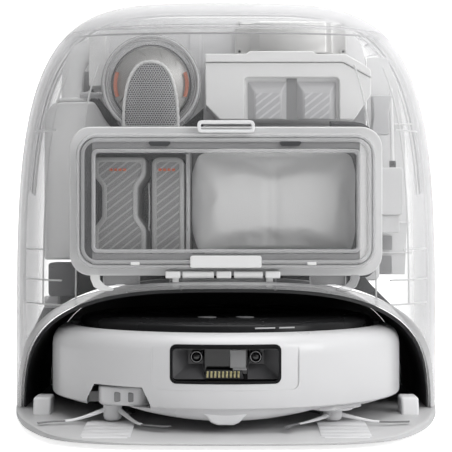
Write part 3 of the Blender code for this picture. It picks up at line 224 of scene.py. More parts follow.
def addSlab(shape, outline, front, back, index=0, axis="Y"):   # closed prism between two depths
    def spot(u, v, depth):
        return (u, depth, v) if axis == "Y" else (depth, u, v) if axis == "X" else (u, v, depth)
    near = [shape.verts.new(spot(u, v, front)) for u, v in outline]
    far = [shape.verts.new(spot(u, v, back)) for u, v in outline]
    count = len(outline)
    faces = [shape.faces.new(near), shape.faces.new(list(reversed(far)))]
    for i in range(count):
        j = (i + 1) % count
        faces.append(shape.faces.new((near[j], near[i], far[i], far[j])))
    for face in faces:
        face.material_index = index


def loft(shape, loops, closed=False, index=0):    # quads between one ring and the next
    for one, two in zip(loops, loops[1:] + loops[:1] if closed else loops[1:]):
        for k in range(len(one)):
            j = (k + 1) % len(one)
            shape.faces.new((one[k], one[j], two[j], two[k])).material_index = index


def addRing(shape, outer, inner, front, back, index=0):   # closed frame between two outlines
    loops = [[shape.verts.new((u, y, v)) for u, v in line]
             for line, y in ((outer, front), (inner, front), (inner, back), (outer, back))]
    loft(shape, loops, True, index)


def addTurned(shape, profile, centre, axis="Z", count=64, index=0, arc=None):   # (radius, along) points
    start, end = arc if arc else (0.0, math.tau)
    closed = arc is None
    steps = count if closed else count + 1
    rings = []
    for i in range(steps):
        angle = start + (end - start) * i / count
        cosine, sine = math.cos(angle), math.sin(angle)
        ring = []
        for radius, along in profile:
            if axis == "Z":
                spot = (radius * cosine, radius * sine, along)
            elif axis == "Y":
                spot = (radius * cosine, along, radius * sine)
            else:
                spot = (along, radius * cosine, radius * sine)
            ring.append(shape.verts.new(Vector(centre) + Vector(spot)))
        rings.append(ring)
    loft(shape, rings, closed, index)
    if not closed:
        shape.faces.new(rings[0]).material_index = index
        shape.faces.new(list(reversed(rings[-1]))).material_index = index
    bmesh.ops.remove_doubles(shape, verts=shape.verts[:], dist=1e-6)


def addTube(shape, points, radius, count=10, index=0, loop=False, flat=1.0):   # round bar along points
    path = [Vector(p) for p in points]
    total = len(path)
    rings = []
    side = None
    for i, point in enumerate(path):
        ahead = path[(i + 1) % total] if loop or i < total - 1 else point
        behind = path[i - 1] if loop or i > 0 else point
        along = (ahead - behind).normalized()
        if side is None:
            side = along.orthogonal().normalized()
        side = (side - along * side.dot(along)).normalized()
        up = along.cross(side)
        size = radius[i] if isinstance(radius, (list, tuple)) else radius
        rings.append([shape.verts.new(point + side * size * math.cos(math.tau * k / count)
                                      + up * size * flat * math.sin(math.tau * k / count))
                      for k in range(count)])
    loft(shape, rings, loop, index)
    if not loop:
        shape.faces.new(list(reversed(rings[0]))).material_index = index
        shape.faces.new(rings[-1]).material_index = index


def curvePoints(points, steps=8):                 # smooth line through the points
    path = [Vector(p) for p in points]
    path = [path[0] * 2 - path[1]] + path + [path[-1] * 2 - path[-2]]
    line = []
    for a, b, c, d in zip(path, path[1:], path[2:], path[3:]):
        for step in range(steps):
            t = step / steps
            line.append(0.5 * ((2 * b) + (c - a) * t + (2 * a - 5 * b + 4 * c - d) * t * t
                               + (3 * b - a - 3 * c + d) * t ** 3))
    return line + [path[-2]]


def circle(centre, radius, count, level=False):   # points round Y, or round Z when level
    x, y, z = centre
    turns = [math.tau * k / count for k in range(count)]
    if level:
        return [(x + radius * math.cos(a), y + radius * math.sin(a), z) for a in turns]
    return [(x + radius * math.cos(a), y, z + radius * math.sin(a)) for a in turns]


def rounded(left, right, bottom, top, radius, steps=8):
    outline = []
    for x, z, first in ((right - radius, bottom + radius, -90), (right - radius, top - radius, 0),
                        (left + radius, top - radius, 90), (left + radius, bottom + radius, 180)):
        for step in range(steps + 1):
            angle = math.radians(first + 90 * step / steps)
            outline.append((x + radius * math.cos(angle), z + radius * math.sin(angle)))
    return outline


def tool(add, *numbers, **options):               # cutter made by one of the add functions
    shape = bmesh.new()
    add(shape, *numbers, **options)
    return addMesh("cutter", shape, (), body=None)


def slabPiece(name, outline, front, back, material, axis="Y", **look):
    shape = bmesh.new()
    addSlab(shape, outline, front, back, axis=axis)
    return addMesh(name, shape, material, **look)


def turnedPiece(name, profile, centre, material, axis="Z", count=64, arc=None, **look):
    shape = bmesh.new()
    addTurned(shape, profile, centre, axis, count, arc=arc)
    return addMesh(name, shape, material, **look)


def tubePiece(name, points, radius, material, count=10, loop=False, **look):
    shape = bmesh.new()
    addTube(shape, points, radius, count, loop=loop)
    return addMesh(name, shape, material, **look)


def settle(piece, body, node):
    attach(piece, body)
    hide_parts(node)


def bakedMesh(piece):
    return bpy.data.meshes.new_from_object(piece.evaluated_get(bpy.context.evaluated_depsgraph_get()))


def carve(piece, blade, operation="DIFFERENCE"):   # the cut is baked in and the blade removed
    change = piece.modifiers.new("carve", "BOOLEAN")
    change.object = blade
    change.operation = operation
    change.solver = "EXACT"
    bpy.context.view_layer.update()
    mesh = bakedMesh(piece)
    piece.modifiers.clear()
    piece.data = mesh
    bpy.data.objects.remove(blade)
    mesh.shade_smooth()
    mesh.set_sharp_from_angle(angle=math.radians(32))
    return piece


def power(value, exponent):
    return math.copysign(abs(value) ** exponent, value)


tower = {"half": 0.220, "crest": 0.424, "middle": 0.060, "front": 0.180, "back": 0.163,
         "wall": 0.003, "seam": 0.392, "lidBack": 0.196}


def towerSpot(height, angle, inset):
    level = min(height / (tower["crest"] - inset), 1.0)
    side = (1 - level ** 4.5) ** (1 / 4.5)
    rear = (1 - level ** 16) ** (1 / 16)
    sine, cosine = math.sin(angle), math.cos(angle)
    exponent = 2 / (6.0 if sine > 0 else 2.5)
    depth = (tower["back"] - inset) * rear if sine > 0 else (tower["front"] - inset) * side
    x = (tower["half"] - inset) * side * power(cosine, exponent)
    y = tower["middle"] + depth * power(sine, exponent)
    return Vector((x, y, height + 0.10 * (y + 0.010) * level ** 4))


def towerRings(inset, base, count=120, levels=44):
    height = tower["crest"] - inset
    first = math.asin((max(base, 0.001) / height) ** 2.25)
    rings = []
    for step in range(levels + 1):
        angle = first + (math.radians(86) - first) * step / levels
        level = base if step == 0 else height * math.sin(angle) ** (2 / 4.5)
        rings.append([towerSpot(level, math.tau * k / count, inset) for k in range(count)])
    return rings


def towerSolid(name, inset, base, material, body=None):
    shape = bmesh.new()
    rings = [[shape.verts.new(p) for p in ring] for ring in towerRings(inset, base)]
    loft(shape, rings)
    shape.faces.new(rings[-1])
    shape.faces.new(list(reversed(rings[0])))
    return addMesh(name, shape, material, body=body)


def towerFront(x, z, inset=0.0):                  # the shell's front face, along Y
    level = min(z / (tower["crest"] - inset), 0.999)
    side = (1 - level ** 4.5) ** (1 / 4.5)
    share = min(abs(x) / ((tower["half"] - inset) * side), 0.9999)
    return tower["middle"] - (tower["front"] - inset) * side * (1 - share ** 2.5) ** 0.4


def archLine(margin=0.0, foot=0.0121, steps=64):
    width, height = 0.206 + margin, 0.1356 + margin
    lowest = math.asin((foot / height) ** 1.5)
    line = []
    for step in range(steps + 1):
        angle = lowest + (math.pi - 2 * lowest) * step / steps
        line.append((width * power(math.cos(angle), 2 / 3), height * abs(math.sin(angle)) ** (2 / 3)))
    return line


# camera and light
camera = bpy.data.objects.new("camera", bpy.data.cameras.new("camera"))
bpy.context.scene.collection.objects.link(camera)
camera.location = (0.0, -1.463, 0.195)
camera.rotation_euler = (math.radians(90), 0, 0)
camera.data.lens = 113.5
camera.data.sensor_width = 36.0
bpy.context.scene.camera = camera

floorShape = bmesh.new()
floorLine = [(-2.6, -0.0006)] + [(1.6 + 0.7 * math.sin(math.radians(a)),
                                  0.6994 - 0.7 * math.cos(math.radians(a)))
                                 for a in range(0, 91, 6)] + [(2.3, 3.0)]
rows = [[floorShape.verts.new((x, y, z)) for y, z in floorLine] for x in (-3.0, 3.0)]
for k in range(len(floorLine) - 1):
    floorShape.faces.new((rows[0][k], rows[1][k], rows[1][k + 1], rows[0][k + 1]))
floorWhite = newMaterial("floorWhite", (0.93, 0.93, 0.93), 0.7, grain=300, bump=0.01, tint=0.005)
floorTree = floorWhite.node_tree
floorTree.nodes["Principled BSDF"].inputs["Emission Color"].default_value = (1, 1, 1, 1)
seen = floorTree.nodes.new("ShaderNodeLightPath")
glow = floorTree.nodes.new("ShaderNodeMath")
glow.operation = "MULTIPLY"
glow.inputs[1].default_value = 0.75
wire(floorTree, seen.outputs["Is Camera Ray"], glow.inputs[0])
wire(floorTree, glow.outputs[0], floorTree.nodes["Principled BSDF"].inputs["Emission Strength"])
addMesh("paleFloor", floorShape, floorWhite, body=None)


def addLight(name, place, target, size, energy, tall=None):
    lamp = bpy.data.lights.new(name, "AREA")
    lamp.energy = energy
    lamp.shape = "RECTANGLE"
    lamp.size, lamp.size_y = size, tall or size
    thing = bpy.data.objects.new(name, lamp)
    thing.location = place
    thing.rotation_euler = (Vector(target) - Vector(place)).to_track_quat("-Z", "Y").to_euler()
    bpy.context.scene.collection.objects.link(thing)


addLight("keyLight", (1.45, -1.15, 0.9), (0, 0, 0.15), 0.8, 9)
addLight("frontLight", (0.9, -1.5, 1.3), (0, 0, 0.35), 0.5, 3)
addLight("topLight", (0.0, -0.2, 1.9), (0, 0, 0.2), 1.4, 19)
addLight("backLight", (0.2, 1.25, 1.0), (0, 0, 0.25), 1.4, 2.5)
world = bpy.data.worlds.new("studio")
world.use_nodes = True
world.node_tree.nodes["Background"].inputs["Color"].default_value = (1, 1, 1, 1)
sky = world.node_tree                             # brighter from the right and from above
skyPlace = sky.nodes.new("ShaderNodeTexCoord")
skyAxes = sky.nodes.new("ShaderNodeSeparateXYZ")
skySide = sky.nodes.new("ShaderNodeMapRange")
skyUp = sky.nodes.new("ShaderNodeMapRange")
skySum = sky.nodes.new("ShaderNodeMath")
for ramp, low, high in ((skySide, 0.02, 0.66), (skyUp, 0.0, 0.55)):
    ramp.inputs["From Min"].default_value = -0.2 if ramp == skySide else 0.0
    ramp.inputs["From Max"].default_value = 1.0
    ramp.inputs["To Min"].default_value = low
    ramp.inputs["To Max"].default_value = high
wire(sky, skyPlace.outputs["Generated"], skyAxes.inputs[0])
wire(sky, skyAxes.outputs["X"], skySide.inputs["Value"])
wire(sky, skyAxes.outputs["Z"], skyUp.inputs["Value"])
wire(sky, skySide.outputs["Result"], skySum.inputs[0])
wire(sky, skyUp.outputs["Result"], skySum.inputs[1])
skySeen = sky.nodes.new("ShaderNodeLightPath")
skyTop = sky.nodes.new("ShaderNodeMath")
skyTop.operation = "MAXIMUM"
wire(sky, skySum.outputs[0], skyTop.inputs[0])
wire(sky, skySeen.outputs["Is Camera Ray"], skyTop.inputs[1])
wire(sky, skyTop.outputs[0], sky.nodes["Background"].inputs["Strength"])
bpy.context.scene.world = world
bpy.context.scene.view_settings.view_transform = "Standard"
bpy.context.scene.view_settings.look = "None"
bpy.context.scene.cycles.transparent_max_bounces = 28
print("camera and light ready")


# base tray
tray = {"top": 0.0118, "slopeFrom": -0.150, "slopeLength": 0.078, "drop": 0.005, "corner": 0.045}
guide = {"inner": 0.171, "outer": 0.188, "front": -0.078, "back": -0.042, "foot": 0.0100, "top": 0.0278,
         "slope": 0.006}
grip = {"rows": 14, "first": -0.208, "pitch": 0.0062, "length": 0.0028, "half": 0.0225, "middle": 0.107}
board = {"ribs": 15, "first": 0.0105, "pitch": 0.0092, "width": 0.003, "half": 0.130}


def trayNose():                                   # rounded nose, straight sides, rounded back corners
    knots = [(0.220, 0.060), (0.2134, -0.0129), (0.1991, -0.0849), (0.1850, -0.133), (0.165, -0.177),
             (0.1426, -0.203), (0.109, -0.219), (0.071, -0.2254), (0.0, -0.228)]
    left = [Vector((-x, y, 0)) for x, y in knots]
    right = [Vector((x, y, 0)) for x, y in reversed(knots[:-1])]
    line = [(p.x, p.y) for p in curvePoints(left + right, 7)]
    for corner, first in ((1, 0), (-1, 90)):
        for step in range(13):
            angle = math.radians(first + 7.5 * step)
            line.append((corner * 0.175 + tray["corner"] * math.cos(angle),
                         0.178 + tray["corner"] * math.sin(angle)))
    return line


def deckHeight(y):
    return tray["top"] - tray["drop"] * max(0.0, (tray["slopeFrom"] - y) / tray["slopeLength"])


shape = bmesh.new()
outline = trayNose()
loops = []
for inset, rise in ((0.0012, 0.0043), (0.0, 0.0050), (0.0, None), (0.0012, None), (0.0035, None)):
    ring = []
    for x, y in outline:
        toward = Vector((x, y, 0)).normalized() * inset
        spot = Vector((x, y, 0)) - toward
        drop = {0.0: 0.0009, 0.0012: 0.0002}.get(inset, 0.0)
        height = rise if rise is not None else deckHeight(spot.y) - drop
        ring.append(shape.verts.new((spot.x, spot.y, height)))
    loops.append(ring)
loft(shape, loops)
shape.faces.new(list(reversed(loops[0])))
bmesh.ops.contextual_create(shape, geom=loops[-1])
bmesh.ops.triangulate(shape, faces=[f for f in shape.faces if len(f.verts) > 4])
trayPiece = addMesh("trayPlate", shape, trayWhite, smoothAngle=30, replaces=("base_tray",),
                    slotName="white_plastic")
carve(trayPiece, tool(addSlab, rounded(-0.136, 0.136, 0.004, 0.146, 0.010), 0.0074, 0.020, axis="Z"))
for side, label in ((-1, "Left"), (1, "Right")):
    shape = bmesh.new()
    low, high = sorted((side * guide["inner"], side * guide["outer"]))
    front, back, top = guide["front"], guide["back"], guide["top"]
    sloped = front + guide["slope"]
    under = [shape.verts.new((x, y, guide["foot"]))
             for x, y in ((low, front), (high, front), (high, back), (low, back))]
    over = [shape.verts.new((x, y, top))
            for x, y in ((low, sloped), (high, sloped), (high, back), (low, back))]
    shape.faces.new(list(reversed(under)))
    shape.faces.new(over)
    loft(shape, [under, over])
    addMesh(f"guideBlock{label}", shape, softWhite, bevel=0.0022, segments=3)
    shape = bmesh.new()                          # low grip ribs in front of each brush
    for row in range(grip["rows"]):
        y = grip["first"] + row * grip["pitch"]
        wide = grip["half"] - (0.0025 if row in (0, grip["rows"] - 1) else 0.0)
        place = side * grip["middle"]
        addBox(shape, (place - wide, y, deckHeight(y) - 0.0003),
               (place + wide, y + grip["length"], deckHeight(y) + 0.0006))
    addMesh(f"gripRibs{label}", shape, softWhite, bevel=0.0003)
shape = bmesh.new()
for row in range(board["ribs"]):
    y = board["first"] + row * board["pitch"]
    addBox(shape, (-board["half"], y, 0.0079), (board["half"], y + board["width"], 0.0112))
addSlab(shape, rounded(-0.1352, 0.1352, 0.0048, 0.1452, 0.009), 0.0076, 0.0090, axis="Z")
addMesh("washBoard", shape, paleGrey, bevel=0.0004, replaces=("wash_board",), slotName="grey_plastic")
print("tray ready")

# shell and lid
shell = towerSolid("shellWall", 0.0, 0.0121, shellClear)
carve(shell, towerSolid("hollow", tower["wall"], 0.0, ()))
carve(shell, tool(addSlab, rounded(-0.1483, 0.1483, 0.1477, 0.2893, 0.020), -0.200, 0.060))
carve(shell, tool(addBox, (-0.059, -0.200, 0.1445), (0.053, -0.105, 0.165)))
carve(shell, tool(addSlab, archLine(foot=0.0005), -0.300, 0.040))
carve(shell, tool(addBox, (-0.300, -0.300, tower["seam"]), (0.300, tower["lidBack"], 0.600)))
settle(shell, "station", "outer_shell")
lid = towerSolid("lidDome", 0.0, 0.0121, lidClear)
carve(lid, towerSolid("hollow", tower["wall"], 0.0, ()))
carve(lid, tool(addBox, (-0.300, -0.300, tower["seam"] + 0.0004),
                (0.300, tower["lidBack"] - 0.0004, 0.600)), "INTERSECT")
settle(lid, "lid", "top_lid")


def towerLoop(height, inset, first, last, count=90):
    return [towerSpot(height, first + (last - first) * k / count, inset) for k in range(count + 1)]


# rolled rim inside the lid's lower edge
tubePiece("lidRimBead", towerLoop(0.3945, 0.0055, math.radians(160), math.radians(380)), 0.0016, rimClear,
          count=8, body="lid")
# dark gasket line in the seam
tubePiece("seamGasket", towerLoop(0.3880, 0.0062, math.radians(162), math.radians(378)), 0.0010, grey,
          count=8)


def domeLine(inset, place, start=-84, end=84, count=72):   # arch over the dome, parallel to it
    line = []
    for k in range(count + 1):
        angle = math.radians(start + (end - start) * k / count)
        height = (tower["crest"] - inset) * abs(math.cos(angle)) ** (2 / 4.5)
        half = (tower["half"] - inset) * abs(math.sin(angle)) ** (2 / 4.5)
        line.append(Vector((math.copysign(half, angle), place,
                            height + 0.10 * (place + 0.010) * (height / tower["crest"]) ** 4)))
    return line


for name, inset, radius, material, place in (("domeBandPale", 0.0070, 0.0022, rimClear, 0.052),
                                             ("domeBandDark", 0.0110, 0.0009, grey, 0.050),
                                             ("domeBandInner", 0.0140, 0.0014, frosted, 0.048)):
    tubePiece(name, [p for p in domeLine(inset, place) if p.z > 0.22], radius, material, count=8)
for side, label in ((-1, "Left"), (1, "Right")):   # stiffening ribs on the inside of the walls
    shape = bmesh.new()
    for height in (0.118, 0.142, 0.172, 0.291):
        points = []
        for k in range(13):
            angle = math.radians(-88 + 7 * k) if side > 0 else math.radians(268 - 7 * k)
            points.append(towerSpot(height, angle, 0.0052))
        points = [p for p in points if abs(p.x) > 0.160]
        addTube(shape, points, 0.0009, 6)
    for share in (-52, -36, -18):
        points = []
        for k in range(16):
            height = 0.118 + 0.238 * k / 15
            angle = math.radians(share if side > 0 else 180 - share)
            points.append(towerSpot(height, angle, 0.0055))
        addTube(shape, points, 0.0009, 6)
    addMesh(f"wallRibs{label}", shape, frosted)
print("shell ready")

# back
shape = bmesh.new()
addSlab(shape, rounded(-0.120, 0.120, 0.018, 0.320, 0.020), 0.2252, 0.2280)
for row in range(9):
    z = 0.045 + row * 0.0105
    addBox(shape, (-0.052, 0.2272, z), (0.052, 0.2290, z + 0.0042), 1)
addMesh("backPlate", shape, [softWhite, grey], bevel=0.0009, replaces=("back_panel",),
        slotName="white_plastic")
shape = bmesh.new()
for x, z in ((-0.107, 0.032), (-0.107, 0.306), (0.107, 0.032), (0.107, 0.306)):
    addTurned(shape, [(0.0, 0.2278), (0.0036, 0.2278), (0.0036, 0.2287), (0.0026, 0.2292), (0.0, 0.2292)],
              (x, 0, z), "Y", 20)
addMesh("backScrews", shape, screwMetal)

# garage liner and arch trim
shape = bmesh.new()
outer, inner = archLine(-0.0003), archLine(-0.0033)
rings = []
for line in (outer, inner):
    rings.append([shape.verts.new((x, towerFront(x, max(z, 0.0), 0.0036) + 0.0005, z)) for x, z in line])
    rings.append([shape.verts.new((x, 0.190, z)) for x, z in line])
for a, b in ((0, 1), (1, 3), (3, 2), (2, 0)):
    for k in range(len(outer) - 1):
        shape.faces.new((rings[a][k], rings[a][k + 1], rings[b][k + 1], rings[b][k]))
for k in (0, -1):
    shape.faces.new([rings[0][k], rings[1][k], rings[3][k], rings[2][k]])
addSlab(shape, archLine(-0.0036), 0.187, 0.1898)
addMesh("garageLining", shape, garageBlack, smoothAngle=35, replaces=("garage_liner",),
        slotName="dark_plastic")
shape = bmesh.new()
rings = []
for margin, lift in ((0.0004, 0.0), (0.0004, 0.0036), (0.0040, 0.0040), (0.0066, 0.0022), (0.0070, 0.0)):
    line = archLine(margin)
    rings.append([shape.verts.new((x, towerFront(x, max(z, 0.0)) - lift - 0.0004, z)) for x, z in line])
for one, two in zip(rings, rings[1:] + rings[:1]):
    for k in range(len(one) - 1):
        shape.faces.new((one[k], one[k + 1], two[k + 1], two[k]))
for k in (0, -1):
    shape.faces.new([ring[k] for ring in rings])
addMesh("archTrim", shape, trimClear, replaces=("arch_trim",), slotName="clear_plastic")
# dark slab standing in for the shaded space above the arch, behind the door's foot: painted shade
shadeOutline = [(x, z + 0.0015) for x, z in archLine(0.006) if z > 0.075]
shadeOutline += [(-0.176, 0.128), (-0.176, 0.150), (-0.150, 0.158), (0.128, 0.158), (0.146, 0.136)]
slabPiece("archShadeSheet", shadeOutline, -0.030, -0.026, darkGrey, bevel=0.001)
print("garage ready")

# compartment frame
shape = bmesh.new()
addRing(shape, rounded(-0.148, 0.148, 0.148, 0.289, 0.020), rounded(-0.1363, 0.1363, 0.1597, 0.2773, 0.012),
        -0.1147, -0.0847)
addMesh("doorFascia", shape, frosted, bevel=0.0012, replaces=("door_fascia",), slotName="white_plastic")
shape = bmesh.new()
for start, end in ((-0.057, -0.043), (-0.009, 0.005), (0.037, 0.051)):
    addBox(shape, (start, -0.1239, 0.1457), (end, -0.1110, 0.1523))
addMesh("hingeBrackets", shape, white, bevel=0.001)
shape = bmesh.new()
addRing(shape, rounded(-0.1358, 0.1358, 0.1602, 0.2768, 0.012),
        rounded(-0.1338, 0.1338, 0.1622, 0.2748, 0.010), -0.1145, 0.0175)
addSlab(shape, rounded(-0.1355, 0.1355, 0.1605, 0.2765, 0.012), 0.0178, 0.0198)
addMesh("compartmentTub", shape, greyClear, bevel=0.0004, replaces=("compartment_tub",),
        slotName="clear_plastic")
shape = bmesh.new()                               # painted shade: dark slabs for the shaded inner faces behind the cartridges
addSlab(shape, rounded(-0.1330, -0.034, 0.1630, 0.2742, 0.008), 0.0150, 0.0172)
addBox(shape, (-0.1330, -0.0940, 0.2640), (-0.036, 0.0150, 0.2650))
addMesh("tubShadeBacking", shape, darkGrey, bevel=0.0004)
shape = bmesh.new()                               # rail above the cartridges
addBox(shape, (-0.1330, -0.1020, 0.2672), (-0.0410, -0.0975, 0.2708))
addBox(shape, (-0.1180, -0.1030, 0.2680), (-0.0700, -0.1018, 0.2700))
addMesh("cartridgeRail", shape, grey, bevel=0.0005)

# cartridges
cartridge = {"front": -0.096, "back": -0.0122, "bottom": 0.1625, "top": 0.261, "left": -0.127,
             "right": -0.077, "waist": 0.008, "slimLeft": -0.0712, "slimRight": -0.0402, "corner": 0.0075}
marks = {"starts": (-0.1118, -0.0648), "count": 4, "pitch": 0.0043, "length": 0.0030}


def slim(inset):
    return rounded(cartridge["slimLeft"] + inset, cartridge["slimRight"] - inset, cartridge["bottom"] + inset,
                   cartridge["top"] - inset, cartridge["corner"] - inset)


def waisted(inset):
    left, right, waist = cartridge["left"] + inset, cartridge["right"] - inset, cartridge["waist"]
    low, high = cartridge["bottom"] + inset, cartridge["top"] - inset
    corners = [(left, low), (right, low), (right, 0.1925 - inset * 0.4),
               (right - waist, 0.2035 - inset * 0.4), (right - waist, 0.2325 + inset * 0.4),
               (right, 0.2435 + inset * 0.4), (right, high), (left, high), (left, 0.2435 + inset * 0.4),
               (left + waist, 0.2325 + inset * 0.4), (left + waist, 0.2035 - inset * 0.4),
               (left, 0.1925 - inset * 0.4)]
    line = []
    for k, corner in enumerate(corners):
        here, before, after = Vector(corner), Vector(corners[k - 1]), Vector(corners[(k + 1) % 12])
        reach = 0.0042 if k in (6, 7) else 0.0030
        start = here + (before - here).normalized() * reach
        end = here + (after - here).normalized() * reach
        for step in range(5):
            t = step / 4
            line.append(tuple(start * (1 - t) ** 2 + here * 2 * t * (1 - t) + end * t * t))
    return line


def cartridgePiece(name, lineMaker, node):
    shape = bmesh.new()
    outer, lip, floor = lineMaker(0.0), lineMaker(0.0012), lineMaker(0.0040)
    front = cartridge["front"]
    loops = []
    for line, y in ((outer, cartridge["back"]), (outer, front + 0.0016), (lip, front + 0.0002),
                    (floor, front + 0.0002), (lineMaker(0.0046), front + 0.0010)):
        loops.append([shape.verts.new((u, y, v)) for u, v in line])
    loft(shape, loops)
    shape.faces.new(list(reversed(loops[0])))
    shape.faces.new(loops[-1]).material_index = 1
    return addMesh(name, shape, [cartFrame, cartFace], smoothAngle=50, replaces=(node,),
                   slotName="grey_plastic")


cartridgePiece("detergentCartridge", waisted, "detergent_cartridge")
cartridgePiece("deodoriserCartridge", slim, "deodoriser_cartridge")
shape = bmesh.new()                               # plain dashes where the real ones carry print
for start in marks["starts"]:
    for k in range(marks["count"]):
        x = start + k * marks["pitch"]
        addBox(shape, (x, -0.0957, 0.2478), (x + marks["length"], -0.0950, 0.2502))
addMesh("cartridgeMarks", shape, orange, bevel=0.0002)
# pale clear rods down the tub: painted highlight standing in for the bright glints there
shape = bmesh.new()
for x in (-0.0741, -0.0373):
    addTube(shape, curvePoints([(x, -0.094, 0.190), (x + 0.0006, -0.0945, 0.212), (x, -0.094, 0.236)], 8),
            0.0007, 6)
addMesh("tubGlintRods", shape, rimClear)
print("compartment ready")


# dust bag: an inflated fleece pillow, cloth simulated
bag = {"left": -0.034, "right": 0.127, "front": -0.0945, "back": 0.0040, "bottom": 0.1662, "top": 0.2690}
air = {"grid": 0.0038, "pressure": 4.0, "steps": 20, "most": 0.006, "creases": (0.0415, 0.0490)}
bagLine = rounded(bag["left"] + 0.004, bag["right"] - 0.003, bag["bottom"] + 0.003, bag["top"] - 0.003,
                  0.006, 5)
bagPiece = slabPiece("dustBag", bagLine, bag["front"] + 0.008, bag["back"] - 0.008, fleece,
                     replaces=("dust_bag",), slotName="bag_fleece")
even = bagPiece.modifiers.new("even", "REMESH")
even.mode = "VOXEL"
even.voxel_size = air["grid"]
bpy.context.view_layer.update()
bagPiece.data = bakedMesh(bagPiece)
bagPiece.modifiers.clear()
still = [v.co.copy() for v in bagPiece.data.vertices]
cloth = bagPiece.modifiers.new("air", "CLOTH")
cloth.settings.use_pressure = True
cloth.settings.uniform_pressure_force = air["pressure"]
cloth.settings.effector_weights.gravity = 0.0
for step in range(1, air["steps"] + 1):
    bpy.context.scene.frame_set(step)
full = bakedMesh(bagPiece)
bagPiece.modifiers.clear()
bagPiece.data = full
for vert, old in zip(full.vertices, still):
    move = vert.co - old
    if move.length > air["most"]:
        vert.co = old + move.normalized() * air["most"]
bpy.context.scene.frame_set(1)
for vert in bagPiece.data.vertices:                 # creases and folds pressed in
    x, y, z = vert.co
    if y < -0.045:
        crease = sum(math.exp(-((x - place) / 0.0019) ** 2) for place in air["creases"]) * 0.0030
        fold = math.exp(-((x - 0.1140 - 0.12 * (z - 0.215)) / 0.0055) ** 2) * 0.0040
        fold *= 0.4 + 0.6 * math.sin(z * 42)
        ripple = 0.0007 * math.sin(x * 210 + 3 * math.sin(z * 60)) * max(0.0, (z - 0.205) / 0.06)
        vert.co.y = y + crease + abs(fold) * 0.7 + ripple
    vert.co.x = min(max(vert.co.x, bag["left"] + 0.0004), bag["right"] - 0.0004)
    vert.co.y = min(max(vert.co.y, bag["front"] - 0.0008), bag["back"])
    vert.co.z = min(max(vert.co.z, bag["bottom"]), bag["top"] + 0.0020)
bagPiece.data.materials.clear()
bagPiece.data.materials.append(fleece)
bagPiece.data.shade_smooth()
bagPiece.modifiers.new("soft", "SUBSURF").render_levels = 1
# card collar at the bag's left end
slabPiece("bagCollar", rounded(-0.0385, -0.0348, 0.1660, 0.2690, 0.0016, 3), -0.0930, 0.0020, paleGrey,
          bevel=0.0006)
print("dust bag ready")


# door
door = {"half": 0.141, "bottom": 0.155, "top": 0.282, "corner": 0.020, "end": 0.0152}


def doorLine(inset):
    return rounded(-door["half"] + inset, door["half"] - inset, door["bottom"] + inset, door["top"] - inset,
                   max(door["corner"] - inset, 0.004), 10)


def doorFrame(name, profile, material):           # swept round the outline; (inset, y) points
    shape = bmesh.new()
    loops = [[shape.verts.new((u, y, v)) for u, v in doorLine(inset)] for inset, y in profile]
    loft(shape, loops, True)
    return addMesh(name, shape, material, smoothAngle=35, body="door")


slabPiece("doorPane", doorLine(0.0022), -0.1256, -0.1236, doorClear, bevel=0.0008, body="door",
          replaces=("compartment_door",), slotName="clear_plastic")
doorFrame("doorRimOuter", [(0.0, -0.1238), (0.0004, -0.1256), (0.0016, -0.1262), (0.0030, -0.1258),
                           (0.0034, -0.1240), (0.0034, -0.1152), (0.0, -0.1152)], beadClear)
doorFrame("doorRimMiddle", [(0.0046, -0.1256), (0.0056, -0.1262), (0.0070, -0.1262), (0.0080, -0.1256),
                            (0.0080, -0.1200), (0.0046, -0.1200)], beadClear)
doorFrame("doorGroove", [(0.0086, -0.1230), (0.0140, -0.1230), (0.0140, -0.1180), (0.0086, -0.1180)], grey)
doorFrame("doorRimInner", [(0.0146, -0.1248), (0.0156, -0.1260), (0.0172, -0.1260), (0.0180, -0.1248),
                           (0.0180, -0.1176), (0.0146, -0.1176)], beadClear)
doorFrame("doorSeal", [(0.0070, -0.1226), (0.0108, -0.1226), (0.0108, -0.1156), (0.0070, -0.1156)],
          grey)
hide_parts("door_seal")
shape = bmesh.new()                               # curved inserts at the door's two ends; the left one dark grey as painted shade, the right one white
edge = door["half"] - door["end"]
for k, side in enumerate((-1, 1)):
    keep = [(u, v) for u, v in doorLine(0.0040) if side * u > edge]
    keep.sort(key=lambda p: p[1])
    addSlab(shape, keep + [(side * edge, keep[-1][1]), (side * edge, keep[0][1])], -0.12355, -0.12305,
            index=k)
addMesh("doorEnds", shape, [darkGrey, white], body="door")
shape = bmesh.new()                               # dark clips along the door's top
for centre in (-0.0625, 0.0605):
    addSlab(shape, [(centre - 0.0105, 0.2732), (centre - 0.0080, 0.2700), (centre + 0.0080, 0.2700),
                    (centre + 0.0105, 0.2732), (centre + 0.0080, 0.2752), (centre - 0.0080, 0.2752)],
            -0.1258, -0.1236)
addMesh("doorClips", shape, darkGrey, bevel=0.0003, body="door")
# lower lugs and clips
slabPiece("doorPlate", rounded(-0.0337, 0.0333, 0.1556, 0.1672, 0.0022), -0.1268, -0.1246, white,
          bevel=0.0006, body="door")
shape = bmesh.new()
for left, right in ((-0.0895, -0.0812), (0.0763, 0.0848)):
    addBox(shape, (left, -0.1266, 0.1582), (right, -0.1246, 0.1612))
for left, right in ((-0.0410, -0.0115), (0.0075, 0.0345)):
    addTube(shape, [(left, -0.1205, 0.149), (right, -0.1205, 0.149)], 0.0033, 16)
addMesh("doorKnuckles", shape, white, bevel=0.0005, body="door")
shape = bmesh.new()
addRing(shape, rounded(-0.027, 0.027, 0.2824, 0.2943, 0.0042, 6),
        rounded(-0.0238, 0.0238, 0.2856, 0.2911, 0.0014, 6), -0.1250, -0.1180)
addMesh("latchLoop", shape, softWhite, bevel=0.0008, segments=3, body="latch", replaces=("door_latch",),
        slotName="white_plastic")
shape = bmesh.new()                               # ribbed rail with brackets under the door
addBox(shape, (-0.0420, -0.1130, 0.1428), (0.0360, -0.1100, 0.1452))
addBox(shape, (-0.0420, -0.1130, 0.1380), (0.0360, -0.1115, 0.1425))
